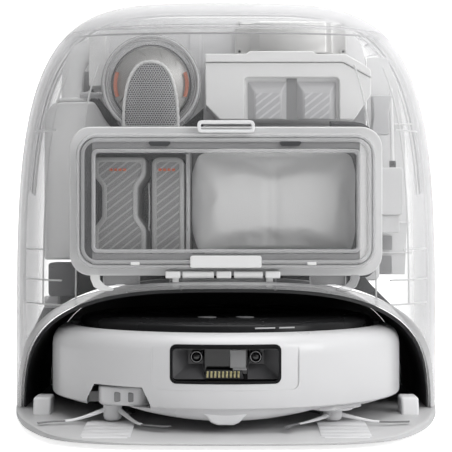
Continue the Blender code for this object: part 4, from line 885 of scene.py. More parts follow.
for k in range(9):
    x = -0.0330 + k * 0.00848
    addBox(shape, (x - 0.0004, -0.1146, 0.1385), (x + 0.0004, -0.1108, 0.1450))
addMesh("hingeRail", shape, paleGrey, bevel=0.0003)
for label, outerX, innerX in (("Left", -0.0535, -0.0415), ("Right", 0.0345, 0.0475)):
    shape = bmesh.new()
    addBox(shape, (outerX, -0.1160, 0.1365), (outerX + 0.0018, -0.1062, 0.1470))
    addBox(shape, (innerX - 0.0018, -0.1160, 0.1340), (innerX, -0.1062, 0.1470))
    addBox(shape, (outerX, -0.1090, 0.1365), (innerX, -0.1062, 0.1470))
    addMesh(f"hingeBracketClear{label}", shape, rimClear, bevel=0.0004)
    shape = bmesh.new()
    middleX = (outerX + innerX) / 2
    addBox(shape, (middleX - 0.0032, -0.1182, 0.1370), (middleX + 0.0032, -0.1115, 0.1468))
    addMesh(f"hingeCap{label}", shape, white, bevel=0.0008)
for left, right, label in ((-0.1165, -0.0815, "Left"), (0.0790, 0.1140, "Right")):
    shape = bmesh.new()
    addRing(shape, rounded(left, right, 0.1380, 0.1498, 0.0018, 5),
            rounded(left + 0.0012, right - 0.0012, 0.1392, 0.1486, 0.0010, 5), -0.1120, -0.1090)
    addMesh(f"footWindow{label}", shape, beadClear, bevel=0.0003)
    slabPiece(f"footWindowPane{label}", rounded(left + 0.0014, right - 0.0014, 0.1394, 0.1484, 0.001, 5),
              -0.1095, -0.1085, grey)
for flip, label, material in ((-1, "Left", white), (1, "Right", rimClear)):
    shape = bmesh.new()
    hook = [(0.1290, 0.1610), (0.1200, 0.1610), (0.1195, 0.1440), (0.1150, 0.1390), (0.1060, 0.1355),
            (0.1075, 0.1335), (0.1190, 0.1335), (0.1255, 0.1375), (0.1285, 0.1450)]
    line = [(flip * x * (1.0 if flip < 0 else 0.985), z) for x, z in hook]
    addSlab(shape, line, -0.1145, -0.1095)
    addMesh(f"cornerHook{label}", shape, material, bevel=0.0012, segments=3)
print("door ready")


# tank bay wall and tanks
shape = bmesh.new()
addSlab(shape, rounded(-0.143, 0.145, 0.1476, 0.411, 0.046, 12), 0.0250, 0.0280)
for left, right, depth in ((-0.0378, -0.0270, 0.0238), (0.0052, 0.0066, 0.0240), (-0.0244, -0.0238, 0.0244)):
    addBox(shape, (left, depth, 0.300), (right, 0.0252, 0.398))
addMesh("bayWall", shape, softWhite, bevel=0.0008, replaces=("inner_panel",), slotName="white_plastic")
for node, left, right, label, slotName in (("clean_tank", -0.148, -0.0015, "Clean", "clear_plastic"),
                                           ("waste_tank", 0.0015, 0.148, "Waste", "grey_plastic")):
    slabPiece(f"tank{label}", rounded(left, right, 0.150, 0.385, 0.018, 8), 0.034, 0.172, frosted,
              bevel=0.007, segments=4, replaces=(node,), slotName=slotName)
    shape = bmesh.new()
    centre = ((left + right) / 2 * 0.9, 0.103, 0.0)
    addTurned(shape, [(0.0, 0.3840), (0.0198, 0.3840), (0.0198, 0.3950), (0.0185, 0.3968), (0.0, 0.3968)],
              centre, count=40)
    for k in range(12):
        angle = math.tau * k / 12
        x, y = centre[0] + 0.0196 * math.cos(angle), centre[1] + 0.0196 * math.sin(angle)
        addBox(shape, (x - 0.0005, y - 0.0005, 0.3860), (x + 0.0005, y + 0.0005, 0.3950))
    addMesh(f"tankCap{label}", shape, grey, bevel=0.0006)
    shape = bmesh.new()                            # carry handle across the tank's top, built fixed
    hoop = [(left + 0.022, 0.062, 0.385), (left + 0.022, 0.062, 0.392), (left + 0.030, 0.062, 0.3952),
            (right - 0.030, 0.062, 0.3952), (right - 0.022, 0.062, 0.392), (right - 0.022, 0.062, 0.385)]
    addTube(shape, curvePoints(hoop, 6), 0.0030, 10)
    addMesh(f"tankHandle{label}", shape, grey)

# fan
fanX, fanZ = -0.0743, 0.3355
fan = {"blades": 11, "swirl": 22, "motorRibs": 18}
turnedPiece("fanVolute", [(0.0494, -0.0530), (0.0488, -0.0545), (0.0470, -0.0550), (0.0462, -0.0545),
                          (0.0452, -0.0525), (0.0448, -0.0500), (0.0436, -0.0480), (0.0420, -0.0465),
                          (0.0400, -0.0462), (0.0395, -0.0450), (0.0395, -0.0225), (0.0120, -0.0225),
                          (0.0120, -0.0202), (0.0494, -0.0202)], (fanX, 0, fanZ), greyClear, axis="Y",
            count=96, smoothAngle=50, replaces=("fan_volute",), slotName="clear_plastic")
shape = bmesh.new()
neckLine = [(fanX - 0.026, 0.2773), (fanX + 0.026, 0.2773), (fanX + 0.026, 0.2890), (fanX + 0.034, 0.2975),
            (fanX + 0.030, 0.3000), (fanX - 0.030, 0.3000), (fanX - 0.034, 0.2975), (fanX - 0.026, 0.2890)]
addSlab(shape, neckLine, -0.0545, -0.0240)
addMesh("fanNeck", shape, greyClear, bevel=0.0014, segments=3)
for radius, along, thick, material, label in ((0.0470, -0.0550, 0.0012, paleGrey, "Outer"),
                                             (0.0440, -0.0500, 0.0006, paleGrey, "Middle"),
                                             (0.0392, -0.0470, 0.0005, darkGrey, "Inner")):
    tubePiece(f"fanBead{label}", circle((fanX, along, fanZ), radius, 96), thick, material, count=8,
              loop=True)
for side, first in (("Right", -20), ("Left", 160)):
    turnedPiece(f"fanTint{side}", [(0.0338, -0.0487), (0.0374, -0.0487), (0.0374, -0.0477),
                                   (0.0338, -0.0477)], (fanX, 0, fanZ),
                newMaterial(f"amberTint{side}", (0.72, 0.28, 0.19), 0.4, grain=900, alpha=(0.60, 0.8, 1.0)),
                axis="Y", count=14, arc=(math.radians(first), math.radians(first + 40)))
shape = bmesh.new()
addTurned(shape, [(0.0, -0.0508), (0.0165, -0.0506), (0.0206, -0.0478), (0.0366, -0.0462),
                  (0.0374, -0.0455), (0.0374, -0.0310), (0.0094, -0.0292), (0.0, -0.0292)],
          (fanX, 0.0, fanZ), "Y", 96)
for k in range(fan["blades"]):                    # swept blades behind the disc
    turn = math.tau * k / fan["blades"]
    line = [(fanX + r * math.cos(turn + r * fan["swirl"]), fanZ + r * math.sin(turn + r * fan["swirl"]))
            for r in (0.014, 0.021, 0.029, 0.0368)]
    back = [(x + 0.0006, z + 0.0006) for x, z in reversed(line)]
    addSlab(shape, line + back, -0.0470, -0.0320)
addMesh("fanImpeller", shape, brushed, smoothAngle=50, body="impeller", replaces=("fan_impeller",),
        slotName="fan_metal")
screen = {"bottom": 0.2936, "height": 0.0635, "half": 0.0264, "front": -0.0562, "dome": 0.0082,
          "pitch": 0.00245}


def screenHalf(z):
    share = min(max((z - screen["bottom"]) / screen["height"], 0.0), 1.0)
    return screen["half"] * (1 - share ** 2.5) ** 0.40


def screenDepth(x, z):
    half = max(screenHalf(z), 1e-4)
    share = min(abs(x) / half, 1.0)
    rise = min(max((z - screen["bottom"]) / screen["height"], 0.0), 1.0)
    return screen["front"] - screen["dome"] * math.sqrt(1 - share ** 2) * (1 - 0.75 * rise ** 3)


shape = bmesh.new()                               # perforated screen: one hexagonal cell after another
pitch = screen["pitch"]
for row in range(30):
    z = screen["bottom"] + 0.0012 + row * pitch * 0.866
    for column in range(-12, 13):
        x = (column + (row % 2) * 0.5) * pitch
        if z > screen["bottom"] + screen["height"] - 0.001 or abs(x) > screenHalf(z) - 0.0004:
            continue
        loops = []
        for radius, sink in ((pitch * 0.577, 0.0), (pitch * 0.36, 0.0004), (pitch * 0.33, 0.0011)):
            ring = []
            for k in range(6):
                angle = math.radians(30 + 60 * k)
                u, v = x + radius * math.cos(angle), z + radius * math.sin(angle)
                ring.append(shape.verts.new((fanX + u, screenDepth(u, v) + sink, v)))
            loops.append(ring)
        loft(shape, loops)
        # each hole's sunken floor is dark grey: painted shade for the dark seen through the holes
        shape.faces.new(loops[-1]).material_index = 1
bmesh.ops.remove_doubles(shape, verts=shape.verts[:], dist=0.00006)
screenMetal = newMaterial("screenPlastic", (0.42, 0.42, 0.425), 0.20, grain=900, bump=0.05, coat=0.5)
addMesh("fanScreen", shape, [screenMetal, darkGrey], smoothAngle=30, replaces=("fan_filter",),
        slotName="fan_metal")
rim = []
for k in range(41):
    z = screen["bottom"] + screen["height"] * math.sin(math.pi / 2 * k / 40)
    rim.append(Vector((fanX - screenHalf(z) - 0.0004, screen["front"] - 0.0010, z)))
rim = rim + [Vector((2 * fanX - p.x, p.y, p.z)) for p in reversed(rim[:-1])]
shape = bmesh.new()
addTube(shape, rim, [0.0017 + 0.00035 * math.sin(k * 1.9) for k in range(len(rim))], 8)
addTube(shape, [(fanX - 0.0264, -0.0580, 0.2940), (fanX + 0.0264, -0.0580, 0.2940)], 0.0011, 8)
addTube(shape, [(fanX - 0.0268, -0.0560, 0.2775), (fanX - 0.0268, -0.0560, 0.2950)], 0.0010, 8)
addTube(shape, [(fanX + 0.0268, -0.0560, 0.2775), (fanX + 0.0268, -0.0560, 0.2950)], 0.0010, 8)
beadBright = newMaterial("beadBright", (0.86, 0.86, 0.86), 0.14, grain=900, bump=0.02, coat=0.5,
                         alpha=(0.72, 0.95, 1.0))
addMesh("screenBead", shape, beadBright)
shape = bmesh.new()                               # painted shade: dark slabs for the shaded pockets beside the neck
addSlab(shape, [(fanX + 0.0300, 0.2782), (fanX + 0.0515, 0.2782), (fanX + 0.0515, 0.3150),
                (fanX + 0.0445, 0.3080), (fanX + 0.0330, 0.2985)], -0.0180, -0.0165)
addSlab(shape, [(fanX - 0.0300, 0.2782), (fanX - 0.0330, 0.2985), (fanX - 0.0480, 0.3160),
                (fanX - 0.0620, 0.3350), (fanX - 0.0640, 0.3150), (fanX - 0.0480, 0.2920),
                (fanX - 0.0350, 0.2782)], -0.0180, -0.0165)
addMesh("fanPocketShade", shape, darkGrey, bevel=0.0006)
print("fan ready")

# silencer box
box = slabPiece("silencerBox", [(-0.0062, 0.3010), (0.1275, 0.3010), (0.1445, 0.3255), (0.1445, 0.3420),
                                (0.1165, 0.3575), (-0.0206, 0.3575), (-0.0206, 0.3155)], -0.0450, 0.0178,
                white, replaces=("silencer_box",), slotName="white_plastic")
carve(box, tool(addSlab, rounded(0.0180, 0.1128, 0.2900, 0.3430, 0.0045, 6), -0.0600, -0.0375))
edge = box.modifiers.new("edge", "BEVEL")
edge.width, edge.segments, edge.limit_method = 0.0012, 3, "ANGLE"
slabPiece("silencerLid", [(-0.0206, 0.3580), (0.1168, 0.3580), (0.1445, 0.3426), (0.1440, 0.3500),
                          (0.1392, 0.3545), (0.1185, 0.3662), (0.0895, 0.3662), (0.0860, 0.3688),
                          (0.0236, 0.3688), (0.0200, 0.3662), (-0.0206, 0.3662)], -0.0468, 0.0178, white,
          bevel=0.0010, segments=3, replaces=("silencer_lid",), slotName="white_plastic")
for label, left, right in (("A", 0.0212, 0.0612), ("B", 0.0700, 0.1105)):
    shape = bmesh.new()
    base = [(left, -0.0376, 0.3012), (right, -0.0376, 0.3012), (right, -0.0376, 0.3400),
            (left, -0.0376, 0.3400)]
    face = [(left + 0.0068, -0.0440, 0.3012), (right - 0.0062, -0.0440, 0.3012),
            (right - 0.0062, -0.0440, 0.3288), (left + 0.0068, -0.0440, 0.3288)]
    low, high = [shape.verts.new(p) for p in base], [shape.verts.new(p) for p in face]
    loft(shape, [low, high])
    shape.faces.new(high)
    shape.faces.new(list(reversed(low)))
    addMesh(f"silencerHump{label}", shape, paleGrey, bevel=0.0012, segments=3)
    slabPiece(f"silencerStripes{label}", rounded(left + 0.0082, right - 0.0076, 0.3018, 0.3276, 0.0012, 4),
              -0.0447, -0.0438, stripeGrey, bevel=0.0003)

# grey strip in the gap between the humps: painted shade
slabPiece("silencerGapShade", [(0.0604, 0.3012), (0.0708, 0.3012), (0.0708, 0.3425), (0.0604, 0.3425)], -0.0384,
          -0.0376, grey)

# cast power cover
shape = bmesh.new()
profile = [(0.0097, 0.0245), (0.0097, -0.0100), (0.0235, -0.0100), (0.0262, -0.0108), (0.0325, -0.0190),
           (0.0350, -0.0200), (0.1000, -0.0200), (0.1022, -0.0190), (0.1070, -0.0108), (0.1096, -0.0100),
           (0.1229, -0.0100), (0.1229, 0.0245)]
addSlab(shape, profile, 0.3705, 0.4022, axis="Z")
addMesh("powerCover", shape, castMetal, bevel=0.0012, segments=3, replaces=("power_cover",),
        slotName="satin_aluminium")
bossLine = [(0.0, -0.0145), (0.0016, -0.0145), (0.0018, -0.0158), (0.0031, -0.0158), (0.0034, -0.0150),
            (0.0034, -0.0095), (0.0, -0.0095)]
screwLine = [(0.0, -0.0150), (0.0013, -0.0150), (0.0013, -0.0140), (0.0, -0.0140)]
for name, line, count, material in (("coverBosses", bossLine, 24, castMetal),
                                    ("coverScrews", screwLine, 12, darkGrey)):
    shape = bmesh.new()
    for x, z in ((0.0137, 0.3722), (0.0137, 0.4000), (0.1190, 0.3722), (0.1190, 0.4000)):
        addTurned(shape, line, (x, 0, z), "Y", count)
    addMesh(name, shape, material)

# left side
shape = bmesh.new()
arc = [(-0.1335, 0.3205), (-0.1285, 0.3130), (-0.1235, 0.3040), (-0.1180, 0.2965), (-0.1120, 0.2910),
       (-0.1085, 0.2885)]
body = [(-0.1835, 0.1610), (-0.1372, 0.1610), (-0.1372, 0.2795), (-0.1085, 0.2795)] + list(reversed(arc))
body = body + [(-0.1640, 0.3205), (-0.1745, 0.3185), (-0.1805, 0.3120), (-0.1835, 0.3000)]
addSlab(shape, body, -0.0260, 0.0210)
addMesh("leftDuct", shape, frosted, bevel=0.0030, segments=4, replaces=("left_duct",),
        slotName="clear_plastic")
shape = bmesh.new()
addTube(shape, curvePoints([(-0.1565, -0.008, 0.3215), (-0.1565, -0.008, 0.3420), (-0.1535, -0.008, 0.3590),
                            (-0.1450, -0.008, 0.3715), (-0.1330, -0.008, 0.3765),
                            (-0.1225, -0.008, 0.3770)], 8), 0.0112, 28)
addTurned(shape, [(0.0, 0.3208), (0.0165, 0.3208), (0.0170, 0.3222), (0.0160, 0.3240), (0.0118, 0.3252),
                  (0.0, 0.3252)], (-0.1565, -0.008, 0), count=40)
addMesh("inletPipe", shape, frosted, smoothAngle=50, replaces=("inlet_pipe",), slotName="white_plastic")
slabPiece("pipeStrap", rounded(-0.1390, -0.1212, 0.3370, 0.3885, 0.0015, 4), -0.0198, 0.0180, white,
          bevel=0.0012, segments=3)
shape = bmesh.new()
addTube(shape, [(-0.1480, -0.016, 0.3275), (-0.1255, -0.016, 0.3275)], 0.0038, 20)
for x in (-0.1400, -0.1310):
    addTube(shape, [(x, -0.016, 0.3275), (x + 0.0016, -0.016, 0.3275)], 0.0048, 20)
addMesh("pipeFitting", shape, beadClear)
shape = bmesh.new()
addSlab(shape, rounded(-0.1752, -0.1480, 0.1262, 0.1588, 0.0030, 5), -0.0578, -0.0182)
for x, z in ((-0.1715, 0.1300), (-0.1517, 0.1300), (-0.1715, 0.1548), (-0.1517, 0.1548)):
    addTurned(shape, [(0.0, -0.0592), (0.0014, -0.0592), (0.0018, -0.0575), (0.0, -0.0575)], (x, 0, z), "Y",
              14)
addMesh("drainPump", shape, darkGrey, bevel=0.0010, replaces=("drain_pump",), slotName="dark_plastic")
shape = bmesh.new()
addBox(shape, (-0.1800, -0.0520, 0.1140), (-0.1660, -0.0350, 0.1255))
addMesh("drainFitting", shape, beadClear, bevel=0.0012)

# grey slab behind the strap: painted shade standing in for the shaded recess
slabPiece("strapShade", rounded(-0.1500, -0.1375, 0.3215, 0.3560, 0.0040, 4), 0.0188, 0.0200, grey,
          bevel=0.0004)

# right side, with the frosted wall that carries the pump and its tube
slabPiece("pumpWall", [(0.1480, 0.1440), (0.1880, 0.1440), (0.1905, 0.2000), (0.1880, 0.2900),
                       (0.1800, 0.3400), (0.1690, 0.3720), (0.1480, 0.3720)], 0.0345, 0.0365, frosted,
          bevel=0.0006)
# grey patches between the wall's ribs: painted shade in its pockets
shape = bmesh.new()
addSlab(shape, rounded(0.1600, 0.1740, 0.1450, 0.1640, 0.0016, 4), 0.0310, 0.0340)
addSlab(shape, rounded(0.1610, 0.1745, 0.1700, 0.1850, 0.0016, 4), 0.0310, 0.0340)
addMesh("wallPocketShade", shape, grey, bevel=0.0005)
shape = bmesh.new()
for z in (0.1670, 0.1990, 0.3020):
    addSlab(shape, rounded(0.1560, 0.1950, z - 0.0007, z + 0.0007, 0.0004, 2), 0.0300, 0.0340)
addMesh("wallRibs", shape, white, bevel=0.0003)
shape = bmesh.new()
addSlab(shape, rounded(0.1545, 0.1808, 0.2064, 0.2548, 0.0040, 6), -0.0098, 0.0298)
addSlab(shape, rounded(0.1590, 0.1780, 0.1880, 0.2062, 0.0020, 4), -0.0040, 0.0240)
addMesh("waterPump", shape, frosted, bevel=0.0012, segments=3, replaces=("water_pump",),
        slotName="clear_plastic")
tubePiece("waterTube", [(0.1722, 0.010, 0.2620), (0.1712, 0.010, 0.3000), (0.1702, 0.010, 0.3372)], 0.0021,
          white, count=14, replaces=("water_tube",), slotName="white_plastic")
tubePiece("tubeEnd", [(0.1722, 0.010, 0.2552), (0.1722, 0.010, 0.2622)], 0.0034, rubber, count=18)
shape = bmesh.new()
funnel = [(0.1485, 0.2890), (0.1680, 0.2890), (0.1665, 0.3060), (0.1700, 0.3290), (0.1500, 0.3290),
          (0.1508, 0.3080)]
addSlab(shape, funnel, -0.0060, 0.0160)
addMesh("rightFunnel", shape, paleGrey, bevel=0.0012)
slabPiece("rightPillar", rounded(0.1372, 0.1545, 0.1400, 0.2860, 0.0060, 6), -0.0300, 0.0200, softWhite,
          bevel=0.0020, segments=3)
gapLine = curvePoints([(0.100, 0, 0.2930), (0.122, 0, 0.2930), (0.1350, 0, 0.2900), (0.1450, 0, 0.2800),
                       (0.1494, 0, 0.2640), (0.1502, 0, 0.2350), (0.1500, 0, 0.2000), (0.1496, 0, 0.1750),
                       (0.1470, 0, 0.1600), (0.1380, 0, 0.1490), (0.1280, 0, 0.1462)], 6)
sizes = []
for point in gapLine:
    point.y = towerFront(point.x, point.z) + 0.0050
    high = math.exp(-((point.z - 0.2905) / 0.010) ** 2) * 0.0022
    foot = math.exp(-((point.z - 0.1500) / 0.008) ** 2) * 0.0012
    sizes.append(0.0007 + high + foot)
tubePiece("fasciaShadowGap", gapLine, sizes, darkGrey, count=8)
shape = bmesh.new()
addSlab(shape, rounded(0.1262, 0.1518, 0.0302, 0.0498, 0.0016, 5), 0.2226, 0.2240)
addRing(shape, rounded(0.1262, 0.1518, 0.0302, 0.0498, 0.0016, 5),
        rounded(0.1285, 0.1495, 0.0325, 0.0475, 0.0030, 5), 0.2240, 0.2274)
for x in (0.1345, 0.1435):
    addTube(shape, [(x, 0.2236, 0.0400), (x, 0.2266, 0.0400)], 0.0012, 12)
addMesh("powerInlet", shape, grey, bevel=0.0004, replaces=("power_inlet",), slotName="grey_plastic")
print("station ready")


# robot: bumper, cover, deck
def skirt(inset):
    r = robotRadius
    return [(r - 0.0016 - inset, 0.0300), (r - 0.0004 - inset, 0.0312), (r - inset, 0.0330),
            (r - inset, 0.0780), (r - 0.0006 - inset, 0.0840), (r - 0.0025 - inset, 0.0890 - inset * 0.4),
            (r - 0.0053 - inset * 0.9, 0.0928 - inset * 0.7), (r - 0.0090 - inset * 0.8, 0.0955 - inset),
            (r - 0.0138 - inset * 0.3, 0.0972 - inset), (r - 0.0190, 0.0980 - inset)]


def frontBand(name, inner, outer, material):      # upright strip curved round the robot's front
    return turnedPiece(name, [(inner, 0.020), (outer, 0.020), (outer, 0.120), (inner, 0.120)], middle,
                       material, count=60, arc=(math.radians(235), math.radians(305)), body=None)


middle = (0.0, robotMiddle, 0.0)
bumper = turnedPiece("bumperRing", skirt(0.0) + list(reversed(skirt(0.0025))), middle, robotWhite,
                     count=150, arc=(math.radians(178.7), math.radians(361.3)), body=None)
shallow = frontBand("shallow", robotRadius - 0.0011, robotRadius + 0.02, ())
carve(shallow, tool(addSlab, rounded(-0.0675, 0.0662, 0.0472, 0.0902, 0.0070), -0.300, -0.130), "INTERSECT")
carve(bumper, shallow)
carve(bumper, tool(addSlab, rounded(-0.0507, 0.0499, 0.0530, 0.0886, 0.0058), -0.300, -0.130))
carve(bumper, tool(addSlab, [(-0.1310, 0.020), (-0.1300, 0.0340), (-0.1225, 0.0484), (-0.0762, 0.0484),
                             (-0.0690, 0.0340), (-0.0660, 0.020)], -0.300, -0.090))
edge = bumper.modifiers.new("edge", "BEVEL")
edge.width, edge.segments, edge.limit_method, edge.angle_limit = 0.0009, 3, "ANGLE", math.radians(50)
settle(bumper, "bumper_ring", "bumper")
# black frame curved with the bumper
window = frontBand("windowFrame", robotRadius - 0.0044, robotRadius - 0.0008, bezelBlack)
carve(window, tool(addRing, rounded(-0.0504, 0.0496, 0.0533, 0.0883, 0.0056),
                   rounded(-0.0484, 0.0476, 0.0553, 0.0863, 0.0040), -0.300, -0.130), "INTERSECT")
settle(window, "bumper_ring", "sensor_window")

# black surround on the cover behind the window
surround = frontBand("baySurround", 0.1655, 0.1662, bezelBlack)
carve(surround, tool(addRing, rounded(-0.0560, 0.0560, 0.0490, 0.0866, 0.0060),
                     rounded(-0.0496, 0.0496, 0.0550, 0.0840, 0.0050), -0.300, -0.130), "INTERSECT")
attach(surround, "robot")
coverProfile = [(0.1630, 0.0363), (0.1657, 0.0363), (0.1657, 0.0760), (0.1640, 0.0800), (0.1557, 0.0915),
                (0.0, 0.0915), (0.0, 0.0885), (0.1537, 0.0885), (0.1610, 0.0790), (0.1627, 0.0755)]
cover = turnedPiece("robotCover", coverProfile, middle, robotWhite, count=120, body=None)
carve(cover, tool(addSlab, rounded(-0.0505, 0.0505, 0.0541, 0.0848, 0.006), -0.300, -0.130))
carve(cover, tool(addBox, (-0.1310, -0.300, 0.0), (-0.0560, -0.0900, 0.0485)))
settle(cover, "robot", "robot_cover")
shape = bmesh.new()
rear = skirt(0.0) + [(0.1500, 0.0980), (0.1500, 0.0917), (0.1560, 0.0917), (0.1662, 0.0780),
                     (0.1662, 0.0300)]
addTurned(shape, rear, middle, count=150, arc=(math.radians(0.9), math.radians(179.1)))
addMesh("rearSkirt", shape, robotWhite, body="robot", bevel=0.0006)
turnedPiece("robotDeck", [(0.0, 0.0918), (0.1469, 0.0918), (0.1470, 0.1022), (0.1462, 0.1036),
                          (0.1447, 0.1046), (0.1410, 0.1062), (0.1370, 0.1070), (0.1275, 0.1079),
                          (0.1262, 0.1074), (0.1248, 0.1079), (0.0620, 0.1080), (0.0612, 0.1074),
                          (0.0604, 0.1080), (0.0, 0.1080)], middle, smoked, count=120, smoothAngle=50,
            body="robot", replaces=("robot_deck",), slotName="black_gloss")
shape = bmesh.new()
for first, last in ((-79.6, -72.2), (-70.6, -64.6)):
    line = [(0.1474 * math.cos(math.radians(first + (last - first) * k / 8)),
             robotMiddle + 0.1474 * math.sin(math.radians(first + (last - first) * k / 8)), 0.1012)
            for k in range(9)]
    addTube(shape, line, 0.0007, 8)
for x in (-0.018, 0.018):                         # two buttons
    addTurned(shape, [(0.0, 0.1078), (0.0085, 0.1078), (0.0088, 0.1084), (0.0, 0.1086)],
              (x, robotMiddle - 0.092, 0), count=32)
addMesh("deckMarks", shape, paleGrey, body="robot")
print("robot body ready")

# sensor bay
eyes = {"left": -0.0267, "right": 0.0269, "z": 0.0765, "ring": 0.0047}
pins = {"count": 9, "first": -0.0168, "pitch": 0.00352}
shape = bmesh.new()
addRing(shape, rounded(-0.0499, 0.0499, 0.0547, 0.0842, 0.0050),
        rounded(-0.0488, 0.0488, 0.0558, 0.0831, 0.0040), -0.1710, -0.1512)
addSlab(shape, rounded(-0.0499, 0.0499, 0.0547, 0.0842, 0.0050), -0.1511, -0.1500)
addMesh("sensorBay", shape, glossBlack, body="robot", replaces=("sensor_bay",), slotName="dark_plastic")
for side, lensX, label in ((-1, eyes["left"], "Left"), (1, eyes["right"], "Right")):
    shape = bmesh.new()
    outerX, innerX = side * 0.0484, side * 0.0196
    rim = [(outerX, 0.0560), (innerX, 0.0560), (innerX, 0.0830), (outerX, 0.0830)]
    deep = [(side * 0.0345, 0.0690), (side * 0.0212, 0.0690), (side * 0.0212, 0.0820),
            (side * 0.0345, 0.0820)]
    near = [shape.verts.new((x, -0.1700, z)) for x, z in rim]
    far = [shape.verts.new((x, -0.1590, z)) for x, z in deep]
    loft(shape, [near, far])
    shape.faces.new(far)
    addMesh(f"cameraHood{label}", shape, hoodGrey, smoothAngle=20, body="robot")
    shape = bmesh.new()
    place = (lensX, 0, eyes["z"])
    addTurned(shape, [(0.0, -0.1728), (0.0018, -0.1727), (0.0030, -0.1718), (0.0036, -0.1700),
                      (0.0042, -0.1715), (0.0050, -0.1722), (0.0059, -0.1716), (0.0061, -0.1690),
                      (0.0061, -0.1560), (0.0, -0.1560)], place, "Y", 40)
    addMesh(f"camera{label}", shape, glossBlack, smoothAngle=60, body="robot",
            replaces=(f"camera_{label.lower()}",), slotName="black_gloss")
    tubePiece(f"cameraRing{label}", circle((lensX, -0.1722, eyes["z"]), eyes["ring"], 32), 0.00035, grey,
              count=6, loop=True, body="robot")
shape = bmesh.new()
addSlab(shape, rounded(0.0036, 0.0180, 0.0662, 0.0828, 0.0008, 4), -0.1712, -0.1560)
addSlab(shape, rounded(0.0060, 0.0188, 0.0640, 0.0661, 0.0006, 4), -0.1716, -0.1560)
addMesh("sensorBlock", shape, grey, bevel=0.0005, body="robot")
slabPiece("contactBase", [(-0.0205, 0.0560), (0.0160, 0.0560), (0.0138, 0.0640), (-0.0180, 0.0640)],
          -0.1700, -0.1560, darkGrey, bevel=0.0004, body="robot")
shape = bmesh.new()
for k in range(pins["count"]):
    x = pins["first"] + k * pins["pitch"]
    addTurned(shape, [(0.0, -0.1716), (0.0006, -0.1716), (0.0011, -0.1708), (0.0011, -0.1699),
                      (0.0, -0.1699)], (x, 0, 0.0615), "Y", 12)
    addBox(shape, (x - 0.0010, -0.1706, 0.0572), (x + 0.0010, -0.1699, 0.0632))
addMesh("contactPins", shape, gold, bevel=0.0002, body="robot", replaces=("contact_strip",),
        slotName="gold_contacts")
print("sensor bay ready")


# underside
leftHub, rightHub = (-0.10602, -0.13002), (0.09999, -0.12999)
brush = {"arms": 3, "strands": 5, "start": 0.0070, "reach": 0.0640, "bend": 9, "tip": 0.0141}


def sideBrush(name, place, first, top, body, node):
    shape = bmesh.new()
    addTurned(shape, [(0.0, 0.0134), (0.0052, 0.0134), (0.0078, 0.0150), (0.0088, 0.0180),
                      (0.0088, top - 0.0004), (0.0, top - 0.0004)], (*place, 0), count=36)
    for number in range(brush["arms"]):
        points, sizes = [], []
        for k in range(13):
            reach = brush["start"] + brush["reach"] * k / 12
            angle = math.radians(first + 120 * number - brush["bend"] * math.sin(math.pi * k / 12))
            height = brush["tip"] + (top - 0.0185) * max(0.0, 1 - k / 6.5) ** 1.4
            points.append((place[0] + reach * math.cos(angle), place[1] + reach * math.sin(angle), height))
            sizes.append(0.0026 - 0.0013 * min(k / 6, 1.0))
        addTube(shape, points[:8], sizes[:8], 8, index=0, flat=0.45)
        for strand in range(brush["strands"]):
            fan = []
            for k in range(7, 13):
                spread = (strand - 2) * 0.00050 * (1 + (k - 7) * 0.35)
                angle = math.radians(first + 120 * number + 90)
                fan.append((points[k][0] + spread * math.cos(angle),
                            points[k][1] + spread * math.sin(angle), points[k][2] - 0.0002))
            addTube(shape, fan, 0.00055, 5, index=1)
    return addMesh(name, shape, [softWhite, bristle], body=body, replaces=(node,), slotName="black_rubber")


sideBrush("sideBrushLeft", leftHub, 200, 0.0286, "brush_left", "side_brush_left")
sideBrush("sideBrushRight", rightHub, 230, 0.0234, "brush_right", "side_brush_right")
shape = bmesh.new()
armLine = [(-0.1178, -0.1215), (-0.1190, -0.1310), (-0.1162, -0.1412), (-0.1000, -0.1500),
           (-0.0790, -0.1560), (-0.0735, -0.1530), (-0.0655, -0.1230), (-0.0595, -0.1090),
           (-0.0600, -0.0990), (-0.0670, -0.0945), (-0.0770, -0.0955), (-0.1020, -0.1170)]
addSlab(shape, armLine, 0.0292, 0.0468, axis="Z")
addMesh("brushArm", shape, softWhite, bevel=0.0024, segments=4, body="extending_arm",
        replaces=("brush_arm",), slotName="white_plastic")
shape = bmesh.new()                               # grey patches on the arm's outer face: painted shade standing in for a finger recess
for k, x in enumerate((-0.0990, -0.0860)):
    addBox(shape, (x - 0.0040, -0.1508 - 0.0035 * k, 0.0330), (x + 0.0040, -0.1488 - 0.0035 * k, 0.0420))
addMesh("armRecessShade", shape, grey, bevel=0.0010, body="extending_arm")
chassisLine = [(0.1619 * math.cos(math.tau * k / 120), robotMiddle + 0.1619 * math.sin(math.tau * k / 120))
               for k in range(120)]
floorPan = slabPiece("floorPan", chassisLine, 0.0262, 0.0358, softWhite, axis="Z", body=None)
well = bmesh.new()
for left, right in ((-0.1165, -0.0895), (0.0895, 0.1165)):
    addBox(well, (left, -0.0560, 0.010), (right, 0.0400, 0.050))
addBox(well, (-0.0830, -0.0575, 0.010), (0.0830, -0.0185, 0.050))
addTurned(well, [(0.0, 0.010), (0.0205, 0.010), (0.0205, 0.050), (0.0, 0.050)], (0, -0.150, 0), count=40)
addBox(well, (-0.1320, -0.200, 0.010), (-0.0560, -0.0900, 0.050))
addTurned(well, [(0.0, 0.010), (0.0105, 0.010), (0.0105, 0.050), (0.0, 0.050)], (*rightHub, 0), count=40)
carve(floorPan, addMesh("cutter", well, (), body=None))
settle(floorPan, "robot", "robot_chassis")
shape = bmesh.new()
addTurned(shape, [(0.0110, 0.0240), (0.0180, 0.0240), (0.0200, 0.0262), (0.0110, 0.0262)], (*rightHub, 0),
          count=40)
for side in (-1, 1):
    line = [(side * 0.1290 * math.cos(a), 0.0600 + 0.058 * math.sin(a), 0.0256)
            for a in [math.radians(-20 + 8 * k) for k in range(14)]]
    addTube(shape, line, 0.0012, 8)
addMesh("floorRibs", shape, softWhite, body="robot")
